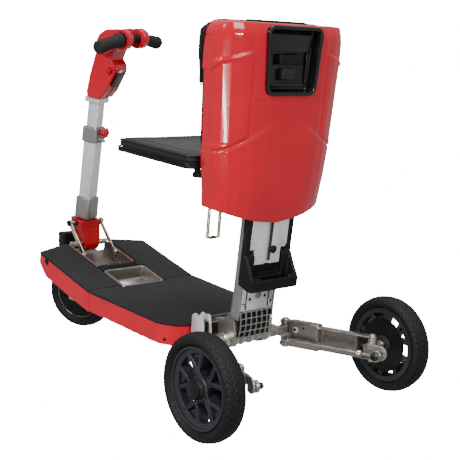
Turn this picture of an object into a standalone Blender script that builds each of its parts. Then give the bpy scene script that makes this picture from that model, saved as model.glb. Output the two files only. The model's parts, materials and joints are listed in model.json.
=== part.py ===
"""A folding three-wheeled mobility scooter.

Metres, +Z up. The front faces -Y and the rider's left is +X. The origin is on the floor, under the
middle of the whole object. The tiller is turned to the left by STEER_REST, as it is parked.
"""

import math

import bmesh
import bpy
from mathutils import Matrix, Vector

# ---------------------------------------------------------------- driving dimensions
REAR_AXLE_Y = 0.4275  # from the origin back to the rear axle
GAP = 0.0004  # clearance between touching pieces

REAR_WHEEL_R = 0.105
REAR_HALF_TRACK = 0.256
REAR_TYRE_WIDTH = 0.047
REAR_RIM_R = 0.081
FRONT_WHEEL_R = 0.093
FRONT_TYRE_WIDTH = 0.046
FRONT_HUB_R = 0.066
FRONT_AXLE_AHEAD = 0.865

DECK_JOINT_AHEAD = 0.572
DECK_JOINT_Z = 0.173
REAR_DECK_PITCH = math.radians(4.0)
FRONT_DECK_PITCH = math.radians(14.5)
DECK_HALF_WIDTH = 0.155
MAT_THICKNESS = 0.004
SLOT_HALF_WIDTH = 0.063
HINGE_Z = 0.1105  # the fold's pin, under the joint

TILLER_LEAN = math.radians(10.5)
STEER_REST = math.radians(24.0)
TILLER_AHEAD = 0.811  # the steering axis passes here at TILLER_Z
TILLER_Z = 0.437
FOLD_B, FOLD_H = 0.0258, -0.1996  # the tiller's fold pivot: behind, and along, the steering axis
BRACE_H = -0.150
BRACE_X = 0.0465
HORN = (0.048, 0.262)  # the horn button, behind the axis and up it
GRIP_DROOP = math.radians(10.0)
GRIP_SWEEP = math.radians(-3.0)

POST_AHEAD = 0.163
POST_Z = 0.170
POST_LEAN = math.radians(8.0)
POST_HALF_WIDTH = 0.050

BACK_AHEAD = 0.100  # the back shell's lowest point
BACK_Z = 0.383
BACK_LEAN = math.radians(5.6)
BACK_HEIGHT = 0.399
BACK_HALF_WIDTH = 0.165
BACK_FRONT = -0.060  # the open front of the shell, in its own frame
BACK_REAR = 0.017  # the middle of its bulged rear face
SHELL_WALL = 0.0035

SEAT_AHEAD = 0.156  # the rear edge of the seat
SEAT_Z = 0.494
SEAT_TILT = math.radians(4.6)
SEAT_HALF_WIDTH = 0.180
SEAT_DEPTH = 0.262

ARM_X = 0.122
ARM_AHEAD = 0.185
ARM_Z = 0.112
TUBE_Z = 0.122  # the cross tube that the post folds on
TUBE_R = 0.0145
ARM_SPLAY = math.radians(17.0)
ARM_LENGTH = 0.214
ROD_OFFSET = -0.0245
ROD_START = 0.020

MATERIALS = {
    "red_paint": ((0.56, 0.012, 0.02), 0.25, 0.0),
    "red_casting": ((0.40, 0.010, 0.016), 0.45, 0.0),
    "black_rubber": ((0.022, 0.022, 0.023), 0.8, 0.0),
    "black_plastic": ((0.016, 0.016, 0.018), 0.45, 0.0),
    "seat_vinyl": ((0.03, 0.03, 0.032), 0.6, 0.0),
    "bright_aluminium": ((0.75, 0.75, 0.74), 0.3, 1.0),
    "cast_aluminium": ((0.36, 0.35, 0.34), 0.5, 1.0),
    "bronze_aluminium": ((0.30, 0.27, 0.24), 0.4, 1.0),
    "zinc_steel": ((0.62, 0.64, 0.66), 0.3, 1.0),
    "dark_glass": ((0.01, 0.01, 0.012), 0.1, 0.0),
    "grey_plastic": ((0.10, 0.10, 0.105), 0.4, 0.0),
}


# ---------------------------------------------------------------- scene helpers
def clear_scene():
    for obj in list(bpy.data.objects):
        bpy.data.objects.remove(obj, do_unlink=True)


def make_collection(name):
    made = bpy.data.collections.new(name)
    bpy.context.scene.collection.children.link(made)
    return made


def make_materials():
    for name, (colour, roughness, metallic) in MATERIALS.items():
        material = bpy.data.materials.new(name)
        material.use_nodes = True
        shader = material.node_tree.nodes["Principled BSDF"]
        shader.inputs["Base Color"].default_value = (*colour, 1.0)
        shader.inputs["Roughness"].default_value = roughness
        shader.inputs["Metallic"].default_value = metallic
        material.diffuse_color = (*colour, 1.0)


clear_scene()
PARTS = make_collection("mobility_scooter")
CUTTERS = make_collection("cutters")
make_materials()


def at(x, ahead, z):
    """A point given by how far ahead of the rear axle it is."""
    return Vector((x, REAR_AXLE_Y - ahead, z))


def make_frame(name, place, turn_x=0.0, turn_z=0.0, parent=None):
    """An empty that holds the pieces of one moving body, on that body's joint."""
    empty = bpy.data.objects.new(name, None)
    empty.empty_display_size = 0.03
    PARTS.objects.link(empty)
    empty.parent = parent
    empty.rotation_mode = "ZYX"
    empty.location = place
    empty.rotation_euler = (turn_x, 0.0, turn_z)
    return empty


def new_object(bm, frame):
    """A mesh object in the cutters' collection, until it is named as a node."""
    bmesh.ops.recalc_face_normals(bm, faces=bm.faces)
    mesh = bpy.data.meshes.new("shape")
    bm.to_mesh(mesh)
    bm.free()
    obj = bpy.data.objects.new("shape", mesh)
    CUTTERS.objects.link(obj)
    obj.parent = frame
    obj.hide_render = True
    obj.display_type = "WIRE"
    return obj


def rounded(obj, width, segments=2):
    bevel = obj.modifiers.new("rounded", "BEVEL")
    bevel.width = width
    bevel.segments = segments
    bevel.limit_method = "ANGLE"
    bevel.angle_limit = math.radians(35)
    bevel.harden_normals = False
    return obj


def block(frame, low, high, round_by=0.0, turn=None):
    """A box between two corners; turn is a matrix about its centre."""
    low, high = Vector(low), Vector(high)
    bm = bmesh.new()
    bmesh.ops.create_cube(bm, size=1.0)
    size = high - low
    bmesh.ops.scale(bm, vec=size, verts=bm.verts)
    obj = new_object(bm, frame)
    obj.location = (low + high) / 2
    if turn is not None:
        obj.rotation_mode = "QUATERNION"
        obj.rotation_quaternion = turn.to_quaternion()
    if round_by:
        rounded(obj, round_by)
    return obj


def rod(frame, start, end, radius, sides=20, end_radius=None):
    """A round bar, or a cone, from start to end."""
    start, end = Vector(start), Vector(end)
    bm = bmesh.new()
    bmesh.ops.create_cone(
        bm,
        cap_ends=True,
        segments=sides,
        radius1=radius,
        radius2=radius if end_radius is None else end_radius,
        depth=(end - start).length,
    )
    obj = new_object(bm, frame)
    obj.location = (start + end) / 2
    obj.rotation_mode = "QUATERNION"
    obj.rotation_quaternion = (end - start).to_track_quat("Z", "Y")
    return obj


def as_mesh(curve_object):
    """The curve object as a closed mesh object in the same place."""
    bpy.context.view_layer.update()
    depsgraph = bpy.context.evaluated_depsgraph_get()
    mesh = bpy.data.meshes.new_from_object(curve_object.evaluated_get(depsgraph))
    bm = bmesh.new()
    bm.from_mesh(mesh)
    bmesh.ops.remove_doubles(bm, verts=bm.verts, dist=0.00001)
    obj = new_object(bm, curve_object.parent)
    obj.matrix_world = curve_object.matrix_world.copy()
    bpy.data.objects.remove(curve_object, do_unlink=True)
    return obj


def slab(frame, outline, low, high, plane="XY"):
    """A flat outline of (u, v) points, thick from low to high along the plane's normal."""
    curve = bpy.data.curves.new("outline", "CURVE")
    curve.dimensions = "2D"
    curve.fill_mode = "BOTH"
    curve.extrude = (high - low) / 2
    spline = curve.splines.new("POLY")
    spline.points.add(len(outline) - 1)
    for point, (u, v) in zip(spline.points, outline):
        point.co = (u, v, 0.0, 1.0)
    spline.use_cyclic_u = True
    obj = bpy.data.objects.new("outline", curve)
    CUTTERS.objects.link(obj)
    obj.parent = frame
    middle = (low + high) / 2
    if plane == "XY":
        obj.location = (0.0, 0.0, middle)
    elif plane == "XZ":
        obj.matrix_local = Matrix(((1, 0, 0, 0), (0, 0, -1, middle), (0, 1, 0, 0), (0, 0, 0, 1)))
    else:
        obj.matrix_local = Matrix(((0, 0, 1, middle), (1, 0, 0, 0), (0, 1, 0, 0), (0, 0, 0, 1)))
    return as_mesh(obj)


def turned(frame, profile, steps, place, axis):
    """A body turned about an axis; profile is (radius, height) down the outer side, top to bottom."""
    bm = bmesh.new()
    verts = [bm.verts.new((radius, 0.0, height)) for radius, height in profile]
    for first, second in zip(verts, verts[1:]):
        bm.edges.new((first, second))
    if profile[0][0] > 0 and profile[-1][0] > 0:
        bm.edges.new((verts[-1], verts[0]))
    obj = new_object(bm, frame)
    screw = obj.modifiers.new("turned", "SCREW")
    screw.steps = steps
    screw.render_steps = steps
    screw.use_merge_vertices = True
    screw.merge_threshold = 0.00005
    obj.location = place
    obj.rotation_mode = "QUATERNION"
    obj.rotation_quaternion = Vector(axis).to_track_quat("Z", "Y")
    return obj


def combine(obj, others, operation):
    for index, other in enumerate(others):
        boolean = obj.modifiers.new(f"{operation.lower()}_{index}", "BOOLEAN")
        boolean.operation = operation
        boolean.object = other
    return obj


def node(name, obj, material, body=None, add=(), cut=()):
    """Names the object as a sub-part, with the shapes joined to it and cut from it."""
    combine(obj, add, "UNION")
    combine(obj, cut, "DIFFERENCE")
    CUTTERS.objects.unlink(obj)
    PARTS.objects.link(obj)
    obj.name = name
    obj.data.name = name
    obj.hide_render = False
    obj.display_type = "TEXTURED"
    obj.data.materials.append(bpy.data.materials[material])
    obj.data.shade_smooth()
    obj.data.set_sharp_from_angle(angle=math.radians(35))
    if body is not None and obj.parent != body:
        hold(obj, body)
    for extra in (*add, *cut):
        if body is not None and extra.parent != body:
            hold(extra, body)
    return obj


def hold(obj, body):
    """Parents the object to the body's empty and keeps it where it is."""
    bpy.context.view_layer.update()
    world = obj.matrix_world.copy()
    obj.parent = body
    obj.matrix_parent_inverse = body.matrix_world.inverted()
    obj.matrix_world = world


def arc(centre, radius, start, end, steps):
    """Points on an arc, angles in degrees."""
    points = []
    for step in range(steps + 1):
        angle = math.radians(start + (end - start) * step / steps)
        points.append((centre[0] + radius * math.cos(angle), centre[1] + radius * math.sin(angle)))
    return points


def mirrored(half):
    """A closed outline from its right-hand half, which runs from one end of the middle line to the other."""
    return half + [(-u, v) for u, v in reversed(half) if abs(u) > 1e-9]


# ---------------------------------------------------------------- frames on the joints
REAR_DECK = make_frame("rear_deck", at(0, DECK_JOINT_AHEAD, DECK_JOINT_Z), -REAR_DECK_PITCH)
FRONT_DECK = make_frame("front_deck", at(0, DECK_JOINT_AHEAD, DECK_JOINT_Z), -FRONT_DECK_PITCH)
TILLER = make_frame("tiller", at(0, TILLER_AHEAD, TILLER_Z), -TILLER_LEAN)
COLUMN = make_frame("column", (0, 0, 0), 0.0, STEER_REST, TILLER)
POST = make_frame("post", at(0, POST_AHEAD, POST_Z), -POST_LEAN)
BACK = make_frame("back", at(0, BACK_AHEAD, BACK_Z), -BACK_LEAN)
SEAT = make_frame("seat", at(0, SEAT_AHEAD, SEAT_Z), -SEAT_TILT)


# ---------------------------------------------------------------- deck
def build_rear_deck():
    corner = 0.065
    length = 0.322
    rear_x = 0.148
    half = [(0.0, 0.0015), (DECK_HALF_WIDTH, 0.0015), (rear_x, length - corner)]
    half += arc((rear_x - corner, length - corner), corner, 0, 90, 6)[1:]
    half += [(0.0, length)]
    notch_low = (-SLOT_HALF_WIDTH - 0.001, -0.02, -0.036)
    notch_high = (SLOT_HALF_WIDTH + 0.001, 0.0115, 0.02)
    deep = [(0.0, -0.03)] + [(DECK_HALF_WIDTH, -0.03)] + half[2:]
    pan = slab(REAR_DECK, mirrored(deep), -0.0515, -MAT_THICKNESS - GAP)
    joint_face = block(None, at(-0.2, DECK_JOINT_AHEAD + 0.1, 0.0), at(0.2, DECK_JOINT_AHEAD - GAP, 0.3))
    node("rear_deck_pan", pan, "red_paint", cut=[block(REAR_DECK, notch_low, notch_high), joint_face])
    mat = slab(REAR_DECK, mirrored(half), -MAT_THICKNESS, 0.0)
    node("rear_deck_mat", rounded(mat, 0.001, 1), "black_rubber",
         cut=[block(REAR_DECK, notch_low, notch_high)])


def build_front_deck():
    half = [(0.0, -0.0015), (DECK_HALF_WIDTH, -0.0015), (0.157, -0.2335), (0.075, -0.262), (0.0, -0.266)]
    deep = [(0.0, 0.03), (DECK_HALF_WIDTH, 0.03)] + half[2:]
    pan = slab(FRONT_DECK, mirrored(deep), -0.0530, -MAT_THICKNESS - GAP)
    joint_face = block(None, at(-0.2, DECK_JOINT_AHEAD + GAP, 0.0), at(0.2, DECK_JOINT_AHEAD - 0.1, 0.3))
    chin = slab(FRONT_DECK, [(-0.195, -0.0535), (-0.236, -0.028), (-0.30, -0.026), (-0.30, -0.08),
                             (-0.195, -0.08)], -0.2, 0.2, "YZ")
    slot = block(FRONT_DECK, (-SLOT_HALF_WIDTH, -0.32, -0.036), (SLOT_HALF_WIDTH, 0.05, 0.02))
    node("front_deck_pan", pan, "red_paint", cut=[slot, chin, joint_face])
    inner = SLOT_HALF_WIDTH + 0.0005
    outline = [(inner, -0.0015), (DECK_HALF_WIDTH, -0.0015), (0.157, -0.2335), (0.075, -0.262),
               (inner, -0.2625)]
    for side, sign in (("left", 1), ("right", -1)):
        points = [(sign * u, v) for u, v in outline]
        mat = slab(FRONT_DECK, points, -MAT_THICKNESS, 0.0)
        node(f"front_deck_mat_{side}", rounded(mat, 0.001, 1), "black_rubber")


def build_trays():
    wide = SLOT_HALF_WIDTH - 0.0015
    tray = block(FRONT_DECK, (-wide, -0.088, -0.034), (wide, 0.0105, 0.001), 0.006)
    hollow = block(FRONT_DECK, (-wide + 0.006, -0.082, -0.030), (wide - 0.006, 0.0045, 0.02), 0.008)
    node("storage_tray", tray, "cast_aluminium", cut=[hollow])
    trough = block(FRONT_DECK, (-0.058, -0.2655, -0.0335), (0.058, -0.1165, -0.002), 0.003)
    channel = block(FRONT_DECK, (-0.0535, -0.30, -0.0295), (0.0535, -0.1215, 0.02))
    node("tiller_trough", trough, "cast_aluminium", cut=[channel])
    bar = block(FRONT_DECK, (-0.0605, -0.1155, -0.026), (0.0605, -0.0895, 0.0015), 0.003)
    lip = block(FRONT_DECK, (-0.042, -0.108, 0.0), (0.042, -0.097, 0.005), 0.002)
    node("trough_crossbar", bar, "black_plastic", add=[lip])


def build_deck_hinge():
    """The pin under the joint that the two decks fold on."""
    place = at(0, DECK_JOINT_AHEAD, HINGE_Z)
    reach = Vector((0.125, 0, 0))
    leaves = []
    for x in (-0.11, -0.05, 0.05, 0.11):
        low = place + Vector((x - 0.012, 0.0005, -0.003))
        leaves.append(block(None, low, low + Vector((0.024, 0.030, 0.0075))))
    pin = rod(None, place - reach, place + reach, 0.0050, 16)
    node("deck_hinge_pin", pin, "zinc_steel", add=leaves)


# ---------------------------------------------------------------- tiller
def build_tiller_base():
    top_h = -0.1385
    boss_r = 0.020
    outline = [(-0.026, top_h), (-0.027, top_h - 0.02)]
    outline += arc((FOLD_B, FOLD_H), boss_r, 205, 380, 10)
    outline += [(0.030, top_h - 0.02), (0.026, top_h)]
    casting = slab(TILLER, outline, -0.031, 0.031, "YZ")
    for vertex in casting.data.vertices:
        depth = (top_h - vertex.co.y) / (top_h - FOLD_H + boss_r)
        vertex.co.z *= 1.0 - 0.42 * depth
    fold_pin = rod(TILLER, (-0.053, FOLD_B, FOLD_H), (0.053, FOLD_B, FOLD_H), 0.007, 16)
    brace_pin = rod(TILLER, (-0.0435, 0, BRACE_H), (0.0435, 0, BRACE_H), 0.005, 12)
    node("tiller_base", casting, "red_casting", add=[fold_pin, brace_pin])


def build_braces():
    """The two flat links that hold the tiller up, from its casting to the trough's walls."""
    top = Vector((0.0, 0.0, BRACE_H))
    foot = Vector((0.0, 0.0805, -0.2105))
    along = (foot - top).normalized()
    for side, sign in (("left", 1), ("right", -1)):
        middle = (top + foot) / 2 + Vector((sign * BRACE_X, 0, 0))
        length = (foot - top).length
        half = Vector((0.002, 0.0055, length / 2))
        turn = along.to_track_quat("Z", "X").to_matrix()
        link = block(TILLER, middle - half, middle + half, 0.0, turn)
        link.rotation_quaternion = Matrix.Rotation(-math.atan2(along.y, along.z), 3, "X").to_quaternion()
        eyes = []
        for end in (top, foot):
            centre = end + Vector((sign * BRACE_X, 0, 0))
            reach = Vector((0.0025, 0, 0))
            eyes.append(rod(TILLER, centre - reach, centre + reach, 0.0085, 16))
        node(f"brace_link_{side}", link, "zinc_steel", add=eyes)


def square_tube(frame, outer, inner, low, high, round_by=0.003):
    tube = block(frame, (-outer, -outer, low), (outer, outer, high), round_by)
    bore = block(frame, (-inner, -inner, low - 0.01), (inner, inner, high + 0.01))
    return tube, bore


def build_column():
    collar = block(COLUMN, (-0.0235, -0.0235, -0.1365), (0.0235, 0.0235, -0.0795), 0.006)
    node("steering_collar", collar, "cast_aluminium")
    tube, bore = square_tube(COLUMN, 0.0184, 0.0163, -0.079, 0.068)
    node("lower_column_tube", tube, "bright_aluminium", cut=[bore])
    clamp, bore = square_tube(COLUMN, 0.0225, 0.0163, 0.0685, 0.109, 0.004)
    slit = block(COLUMN, (-0.001, 0.010, 0.06), (0.001, 0.05, 0.12))
    bolt = rod(COLUMN, (0, 0.0215, 0.077), (0, 0.0330, 0.077), 0.0055, 12)
    node("column_clamp", clamp, "cast_aluminium", add=[bolt], cut=[bore, slit])
    knob = rod(COLUMN, (0, 0.0235, 0.098), (0, 0.0400, 0.098), 0.010, 20, 0.0125)
    wing = block(COLUMN, (-0.005, 0.030, 0.084), (0.005, 0.0395, 0.112), 0.002)
    node("clamp_knob", knob, "red_paint", add=[wing])


def build_upper_column():
    tube = block(COLUMN, (-0.0158, -0.0158, -0.015), (0.0158, 0.0158, 0.1745), 0.003)
    plate = block(COLUMN, (-0.0235, -0.0235, 0.173), (0.0235, 0.0235, 0.1855), 0.003)
    node("upper_column_tube", tube, "bright_aluminium", add=[plate])


def build_head():
    """The red tiller head: a neck that curves back to two rings round the handlebar."""
    ring = (0.083, 0.346)
    outline = [(-0.012, 0.187), (0.026, 0.187), (0.040, 0.206), (0.063, 0.262), (0.060, 0.277),
               (0.049, 0.290), (0.056, 0.312)]
    outline += arc(ring, 0.0235, 235, 460, 12)
    outline += [(0.056, 0.367), (0.034, 0.362), (0.018, 0.348), (0.009, 0.328), (0.002, 0.300),
                (-0.010, 0.240), (-0.015, 0.200)]
    casing = slab(COLUMN, outline, -0.030, 0.030, "YZ")
    hood = [(0.0095, 0.328), (0.020, 0.310), (0.040, 0.302), (0.056, 0.312)]
    hood += arc(ring, 0.0240, 236, 459, 14) + [(0.056, 0.3675), (0.034, 0.3625), (0.018, 0.3485)]
    ears = [slab(COLUMN, hood, 0.0270, 0.046, "YZ"),
            slab(COLUMN, arc(ring, 0.0240, 0, 345, 23), -0.046, -0.0270, "YZ")]
    bore = rod(COLUMN, (-0.08, *ring), (0.08, *ring), 0.0118, 20)
    pocket = rod(COLUMN, (0.0275, *HORN), (0.05, *HORN), 0.0080, 16)
    split = block(COLUMN, (-0.0245, 0.036, 0.320), (0.0245, 0.13, 0.39))
    node("tiller_head", rounded(casing, 0.005), "red_paint", add=ears, cut=[bore, split, pocket])
    bar = rod(COLUMN, (-0.048, *ring), (0.048, *ring), 0.0112, 20)
    ends = []
    for side, sign in (("left", 1), ("right", -1)):
        along = Vector((sign * math.cos(GRIP_DROOP), math.sin(GRIP_SWEEP), -math.sin(GRIP_DROOP))).normalized()
        root = Vector((sign * 0.046, *ring))
        ends.append(rod(COLUMN, root - along * 0.003, root + along * 0.080, 0.0110, 20))
        profile = [(0.0, 0.088), (0.013, 0.088), (0.0165, 0.083), (0.0140, 0.030), (0.0175, 0.006),
                   (0.015, 0.0), (0.0118, 0.0), (0.0118, 0.082), (0.0, 0.082)]
        grip = turned(COLUMN, profile, 20, root + along * 0.004, along)
        node(f"grip_{side}", grip, "black_rubber")
    node("handlebar", bar, "black_plastic", add=ends)


def build_controls():
    face = Vector((0.0, 0.0515, 0.234))
    slope = math.atan2(0.063 - 0.040, 0.262 - 0.206)
    turn = Matrix.Rotation(-slope, 3, "X")
    out = turn @ Vector((0, 1, 0))
    centre = face + out * 0.0025
    half = Vector((0.017, 0.002, 0.018))
    panel = block(COLUMN, centre - half, centre + half, 0.001, turn)
    node("display_panel", panel, "dark_glass")
    spot = Vector((0.0305, *HORN))
    button = rod(COLUMN, spot, spot + Vector((0.0045, 0, 0)), 0.0075, 16)
    node("horn_button", button, "bright_aluminium")
    pivot = Vector((-0.0390, 0.052, 0.330))
    half = Vector((0.006, 0.0035, 0.004))
    lever = block(COLUMN, pivot - half, pivot + half, 0.001)
    finger = block(COLUMN, pivot + Vector((-0.052, -0.0035, -0.004)), pivot + Vector((-0.004, 0.0015, 0.004)),
                   0.001)
    node("throttle_lever", lever, "black_plastic", add=[finger])


# ---------------------------------------------------------------- front fork and wheel
def wheel_hub_point():
    """The front wheel's centre in the column's frame."""
    centre = at(0, FRONT_AXLE_AHEAD, FRONT_WHEEL_R)
    return COLUMN_INVERSE @ steer_about(centre)


def steer_about(point):
    """Turns a point about the steering axis from straight ahead to the rest position."""
    return COLUMN_WORLD @ (STRAIGHT_INVERSE @ point)


bpy.context.view_layer.update()
STRAIGHT_INVERSE = TILLER.matrix_world.inverted()
COLUMN_WORLD = COLUMN.matrix_world.copy()
COLUMN_INVERSE = COLUMN_WORLD.inverted()
HUB = wheel_hub_point()
WHEEL_AXIS = (1, 0, 0)


def build_fork():
    crown_h = HUB.z + FRONT_WHEEL_R + 0.0040
    crown = block(COLUMN, (-0.038, -0.018, crown_h), (0.038, 0.024, crown_h + 0.0065), 0.002)
    legs = []
    for sign in (1, -1):
        low = Vector((sign * 0.0345 - 0.0035, HUB.y - 0.016, HUB.z - 0.014))
        high = Vector((sign * 0.0345 + 0.0035, HUB.y + 0.012, crown_h + 0.006))
        legs.append(block(COLUMN, low, high, 0.002))
    stem = rod(COLUMN, (0, 0, crown_h + 0.003), (0, 0, crown_h + 0.0165), 0.0105, 20)
    axle = rod(COLUMN, HUB + Vector((-0.044, 0, 0)), HUB + Vector((0.044, 0, 0)), 0.0055, 12)
    nuts = [rod(COLUMN, HUB + Vector((sign * 0.036, 0, 0)), HUB + Vector((sign * 0.0425, 0, 0)), 0.0095, 6)
            for sign in (1, -1)]
    node("front_fork", crown, "cast_aluminium", add=[*legs, stem, axle, *nuts])


def tyre(name, frame, centre, radius, inner, width, steps):
    half = width / 2
    profile = [(inner + 0.004, half - 0.006), (radius - 0.016, half), (radius - 0.005, half - 0.006),
               (radius, half - 0.016), (radius, -half + 0.016), (radius - 0.005, -half + 0.006),
               (radius - 0.016, -half), (inner + 0.004, -half + 0.006), (inner, -half + 0.009),
               (inner, half - 0.009)]
    node(name, turned(frame, profile, steps, centre, WHEEL_AXIS), "black_rubber")


def build_front_wheel():
    tyre("front_tyre", COLUMN, HUB, FRONT_WHEEL_R, FRONT_HUB_R, FRONT_TYRE_WIDTH, 32)
    rim = FRONT_HUB_R - GAP
    bore = 0.0060
    profile = [(bore, 0.024), (0.022, 0.024), (0.026, 0.017), (0.054, 0.015), (rim, 0.0135),
               (rim, -0.0135), (0.054, -0.015), (0.026, -0.017), (0.022, -0.024), (bore, -0.024)]
    node("hub_motor", turned(COLUMN, profile, 40, HUB, WHEEL_AXIS), "black_plastic")


def build_steering_head():
    """The plate at the deck's nose that the fork's stem turns in, with the light box on it."""
    bore_top = COLUMN_WORLD @ Vector((0, 0, 0.0))
    bore_low = COLUMN_WORLD @ Vector((0, 0, -0.3))
    plate = block(None, at(-0.040, 0.898, 0.2035), at(0.040, 0.8425, 0.2105), 0.0015)
    bore = rod(None, bore_low, bore_top, 0.0115, 24)
    node("steering_head", plate, "cast_aluminium", FRONT_DECK, cut=[bore])
    box = block(None, at(-0.026, 0.905, 0.211), at(0.046, 0.874, 0.259), 0.005)
    node("nose_box", box, "black_plastic", FRONT_DECK)


# ---------------------------------------------------------------- seat post
def build_post():
    wide = POST_HALF_WIDTH
    channel = block(POST, (-wide, -0.012, 0.000), (wide, 0.015, 0.330), 0.003)
    inside = block(POST, (-wide + 0.005, -0.007, -0.05), (wide - 0.005, 0.05, 0.40))
    foot = slab(POST, [(-0.003, 0.012), (-0.0105, 0.06), (-0.0145, 0.012), (-0.030, -0.008), (-0.060, -0.016),
                       (-0.064, -0.030), (-0.055, -0.052), (-0.015, -0.070), (0.006, -0.060), (0.010, -0.030)],
                -0.0490, 0.0490, "YZ")
    gap = block(POST, (-wide + 0.014, -0.1, -0.08), (wide - 0.014, 0.05, 0.10))
    node("seat_post", channel, "cast_aluminium", cut=[inside])
    combine(bpy.data.objects["seat_post"], [foot_sides(foot, gap)], "UNION")
    bore = rod(None, at(-0.2, ARM_AHEAD, TUBE_Z), at(0.2, ARM_AHEAD, TUBE_Z), TUBE_R + 0.0004, 24)
    combine(bpy.data.objects["seat_post"], [bore], "DIFFERENCE")


def foot_sides(foot, gap):
    """The two curved cheeks of the post's foot, with a web between them."""
    combine(foot, [gap], "DIFFERENCE")
    web = block(POST, (-0.040, -0.058, -0.036), (0.040, -0.042, -0.020), 0.002)
    return combine(foot, [web], "UNION")


def build_post_details():
    plate = block(POST, (-0.0444, 0.0085, 0.020), (0.0444, 0.0125, 0.128), 0.001)
    slots = [block(POST, (x - 0.001, 0.0, 0.030), (x + 0.001, 0.02, 0.120)) for x in (-0.030, 0.030)]
    keyhole = rod(POST, (0, 0.0, 0.105), (0, 0.02, 0.105), 0.008, 16)
    holes = [rod(POST, (x, 0.0, z), (x, 0.02, z), 0.0024, 10) for x in (-0.018, 0.018) for z in (0.045, 0.105)]
    node("post_plate", plate, "bright_aluminium", cut=[*slots, keyhole, *holes])
    grille = block(POST, (-0.0354, 0.0100, -0.038), (0.0354, 0.0165, 0.0195), 0.001)
    windows = []
    for column in range(4):
        for row in range(3):
            low = Vector((-0.032 + column * 0.0165, -0.01, -0.0345 + row * 0.018))
            windows.append(block(POST, low, low + Vector((0.0135, 0.05, 0.0150))))
    node("post_grille", grille, "black_plastic", cut=windows)
    rail = block(POST, (-0.0495, 0.0200, 0.1615), (0.0495, 0.0270, 0.326), 0.001)
    tongue = block(POST, (-0.036, 0.0202, 0.128), (0.036, 0.0268, 0.172))
    groove = block(POST, (-0.0045, 0.0235, 0.150), (0.0045, 0.04, 0.40))
    pocket = rod(POST, (-0.014, 0.0248, 0.158), (-0.014, 0.05, 0.158), 0.0076, 16)
    node("seat_rail", rail, "bright_aluminium", add=[tongue], cut=[groove, pocket])
    button = rod(POST, (-0.014, 0.0275, 0.158), (-0.014, 0.0320, 0.158), 0.007, 16)
    node("rail_button", button, "black_plastic")


def build_cradle():
    back = block(POST, (-0.0632, 0.0155, 0.095), (0.0632, 0.0195, 0.2047), 0.001)
    cheeks = []
    profile = [(0.0175, 0.086), (0.060, 0.076), (0.062, 0.101), (0.044, 0.128), (0.031, 0.150),
               (0.0175, 0.160)]
    for sign in (1, -1):
        low, high = sorted((sign * 0.0385, sign * 0.064))
        cheeks.append(slab(POST, profile, low, high, "YZ"))
        low, high = sorted((sign * 0.0512, sign * 0.0628))
        cheeks.append(block(POST, (low, 0.0180, 0.115), (high, 0.0300, 0.2040)))
    shelf = block(POST, (-0.050, 0.0175, 0.079), (0.050, 0.061, 0.104), 0.001)
    pocket = block(POST, (-0.056, 0.033, 0.087), (0.056, 0.0555, 0.25), 0.004)
    flat = block(POST, (-0.07, 0.0, 0.05), (0.07, 0.09, 0.0800))
    node("battery_cradle", back, "black_plastic", add=[*cheeks, shelf], cut=[pocket, flat])


def build_seat_bracket():
    """The bracket that carries the seat: a plate on the post, and a bar in front of the back with two ears."""
    plate = block(POST, (-0.040, -0.0190, 0.288), (0.040, -0.0128, 0.330))
    neck = block(None, at(-0.030, 0.165, 0.4770), at(0.030, 0.1365, 0.4850))
    bar = block(None, at(-0.150, 0.180, 0.4760), at(0.150, 0.1560, 0.4862))
    ears = [block(None, at(x - 0.004, 0.1795, 0.480), at(x + 0.004, 0.1565, 0.4928)) for x in (-0.142, 0.142)]
    node("seat_bracket", bar, "black_plastic", add=[neck, plate, *ears])


# ---------------------------------------------------------------- seat and back
def build_seat():
    wide, deep = SEAT_HALF_WIDTH, SEAT_DEPTH
    half = [(0.0, 0.0), (wide - 0.02, 0.0), (wide, -0.02), (wide, -deep + 0.010), (wide - 0.010, -deep),
            (0.0, -deep)]
    board = slab(SEAT, mirrored(half), 0.0, 0.008)
    node("seat_board", board, "black_plastic")
    pad = slab(SEAT, mirrored(half), 0.0084, 0.0280)
    node("seat_cushion", rounded(pad, 0.005), "seat_vinyl")


def back_half_width(up):
    """Half the back's width at a share of its height."""
    stops = [(0.0, 0.143), (0.10, 0.145), (0.39, 0.157), (0.815, 0.1632), (0.835, 0.1680), (0.92, 0.1680),
             (1.0, 0.1650)]
    for (low, first), (high, second) in zip(stops, stops[1:]):
        if up <= high:
            return first + (second - first) * (up - low) / (high - low)
    return stops[-1][1]


def back_foot(across):
    """How high the back's lower edge is at a share of its half-width."""
    stops = [(0.0, 0.0), (0.345, 0.007), (0.69, 0.017), (0.95, 0.034), (1.0, 0.048)]
    for (low, first), (high, second) in zip(stops, stops[1:]):
        if across <= high:
            return first + (second - first) * (across - low) / (high - low)
    return stops[-1][1]


def back_head(across):
    """How high the back's upper edge is at a share of its half-width: level, with round corners."""
    corner = 0.026
    over = across * BACK_HALF_WIDTH - (BACK_HALF_WIDTH - corner)
    return BACK_HEIGHT - (corner - math.sqrt(max(corner ** 2 - max(over, 0.0) ** 2, 0.0)))


def back_point(across, up, depth):
    """A point of the back, in its own frame, from shares of its half-width, height and depth."""
    low, high = back_foot(abs(across)), back_head(abs(across))
    tuck = 1.0 - 0.26 * max(0.0, 1.0 - up / 0.22) ** 2 - 0.05 * max(0.0, (up - 0.93) / 0.07)
    y = BACK_FRONT + (BACK_REAR - BACK_FRONT) * depth * tuck
    return Vector((across * back_half_width(up), y, low + (high - low) * up))


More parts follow.
